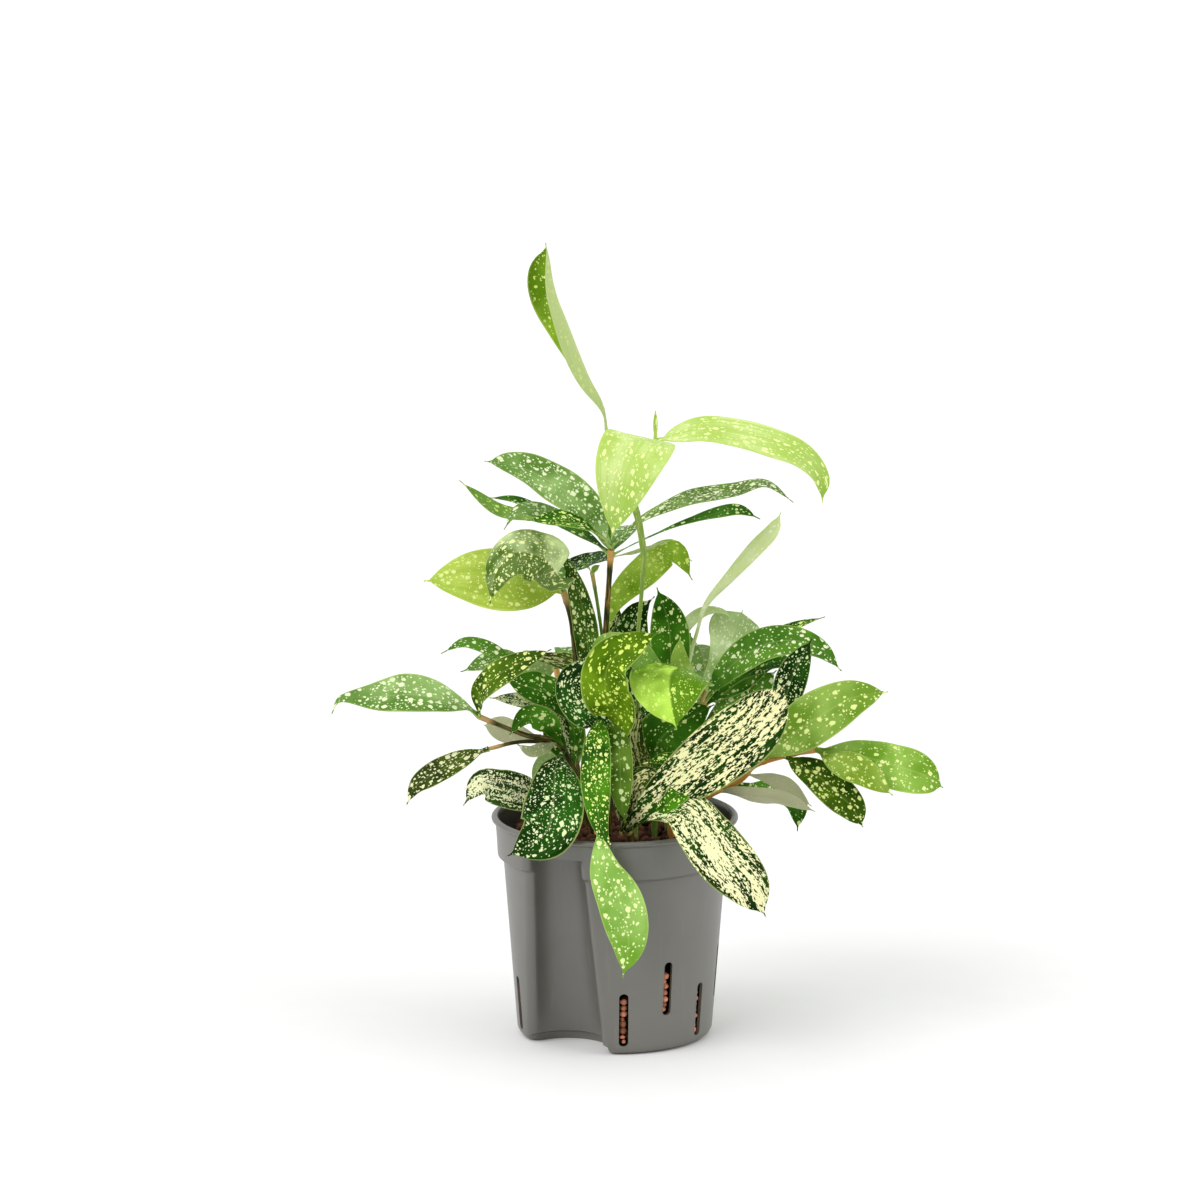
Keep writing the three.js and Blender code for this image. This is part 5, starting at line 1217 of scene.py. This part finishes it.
def make_surround():
    """A white surround that is dimmer on the side of the camera than behind the part."""
    world = bpy.data.worlds.new("surround")
    bpy.context.scene.world = world
    world.use_nodes = True
    nodes, links = world.node_tree.nodes, world.node_tree.links
    direction = nodes.new("ShaderNodeSeparateXYZ")
    links.new(nodes.new("ShaderNodeTexCoord").outputs["Generated"], direction.inputs[0])
    level = nodes.new("ShaderNodeMapRange")
    links.new(direction.outputs["Y"], level.inputs["Value"])
    span = {"From Min": -0.9, "From Max": 0.2, "To Min": FRONT_LIGHT, "To Max": BACK_LIGHT}
    for key, value in span.items():
        level.inputs[key].default_value = value
    links.new(level.outputs["Result"], nodes["Background"].inputs["Strength"])
    nodes["Background"].inputs["Color"].default_value = (1, 1, 1, 1)


def make_floor():
    """A wide floor of plain white paper."""
    graph = Graph("floor_paper")
    fibre = graph.noise(graph.add("TexCoord").outputs["Object"], PAPER_SCALE, 4)
    graph.finish(graph.mix(fibre, *PAPER), PAPER_ROUGHNESS)
    bpy.ops.mesh.primitive_plane_add(size=FLOOR_SIZE)
    floor = bpy.context.object
    floor.name = "floor"
    floor.data.materials.append(graph.material)


def make_camera():
    """The camera at the photograph's angle."""
    camera = bpy.data.cameras.new("camera")
    camera.sensor_width = SENSOR
    camera.lens = SENSOR * VIEW_DISTANCE / VIEW_WIDTH
    camera.clip_end = CLIP_END
    eye = bpy.data.objects.new("camera", camera)
    bpy.context.scene.collection.objects.link(eye)
    back = VIEW_DISTANCE * math.cos(VIEW_ELEVATION)
    rise = VIEW_DISTANCE * math.sin(VIEW_ELEVATION)
    eye.location = (Vector(VIEW_TARGET) + Vector((0, -back, rise))) * MM
    eye.rotation_euler = (math.pi / 2 - VIEW_ELEVATION, 0, 0)
    bpy.context.scene.camera = eye


FOLIAGE_MATERIALS = {kind: foliage(kind, **look) for kind, look in FOLIAGE.items()}
BARK_MATERIALS = {name: cane_bark("cane_" + name, *colours) for name, colours in BARKS.items()}
make_pot()
make_granulate()
make_shoots()
bpy.context.scene.view_settings.view_transform = "Standard"
make_surround()
make_floor()
make_lights()
make_camera()

bpy.context.view_layer.update()
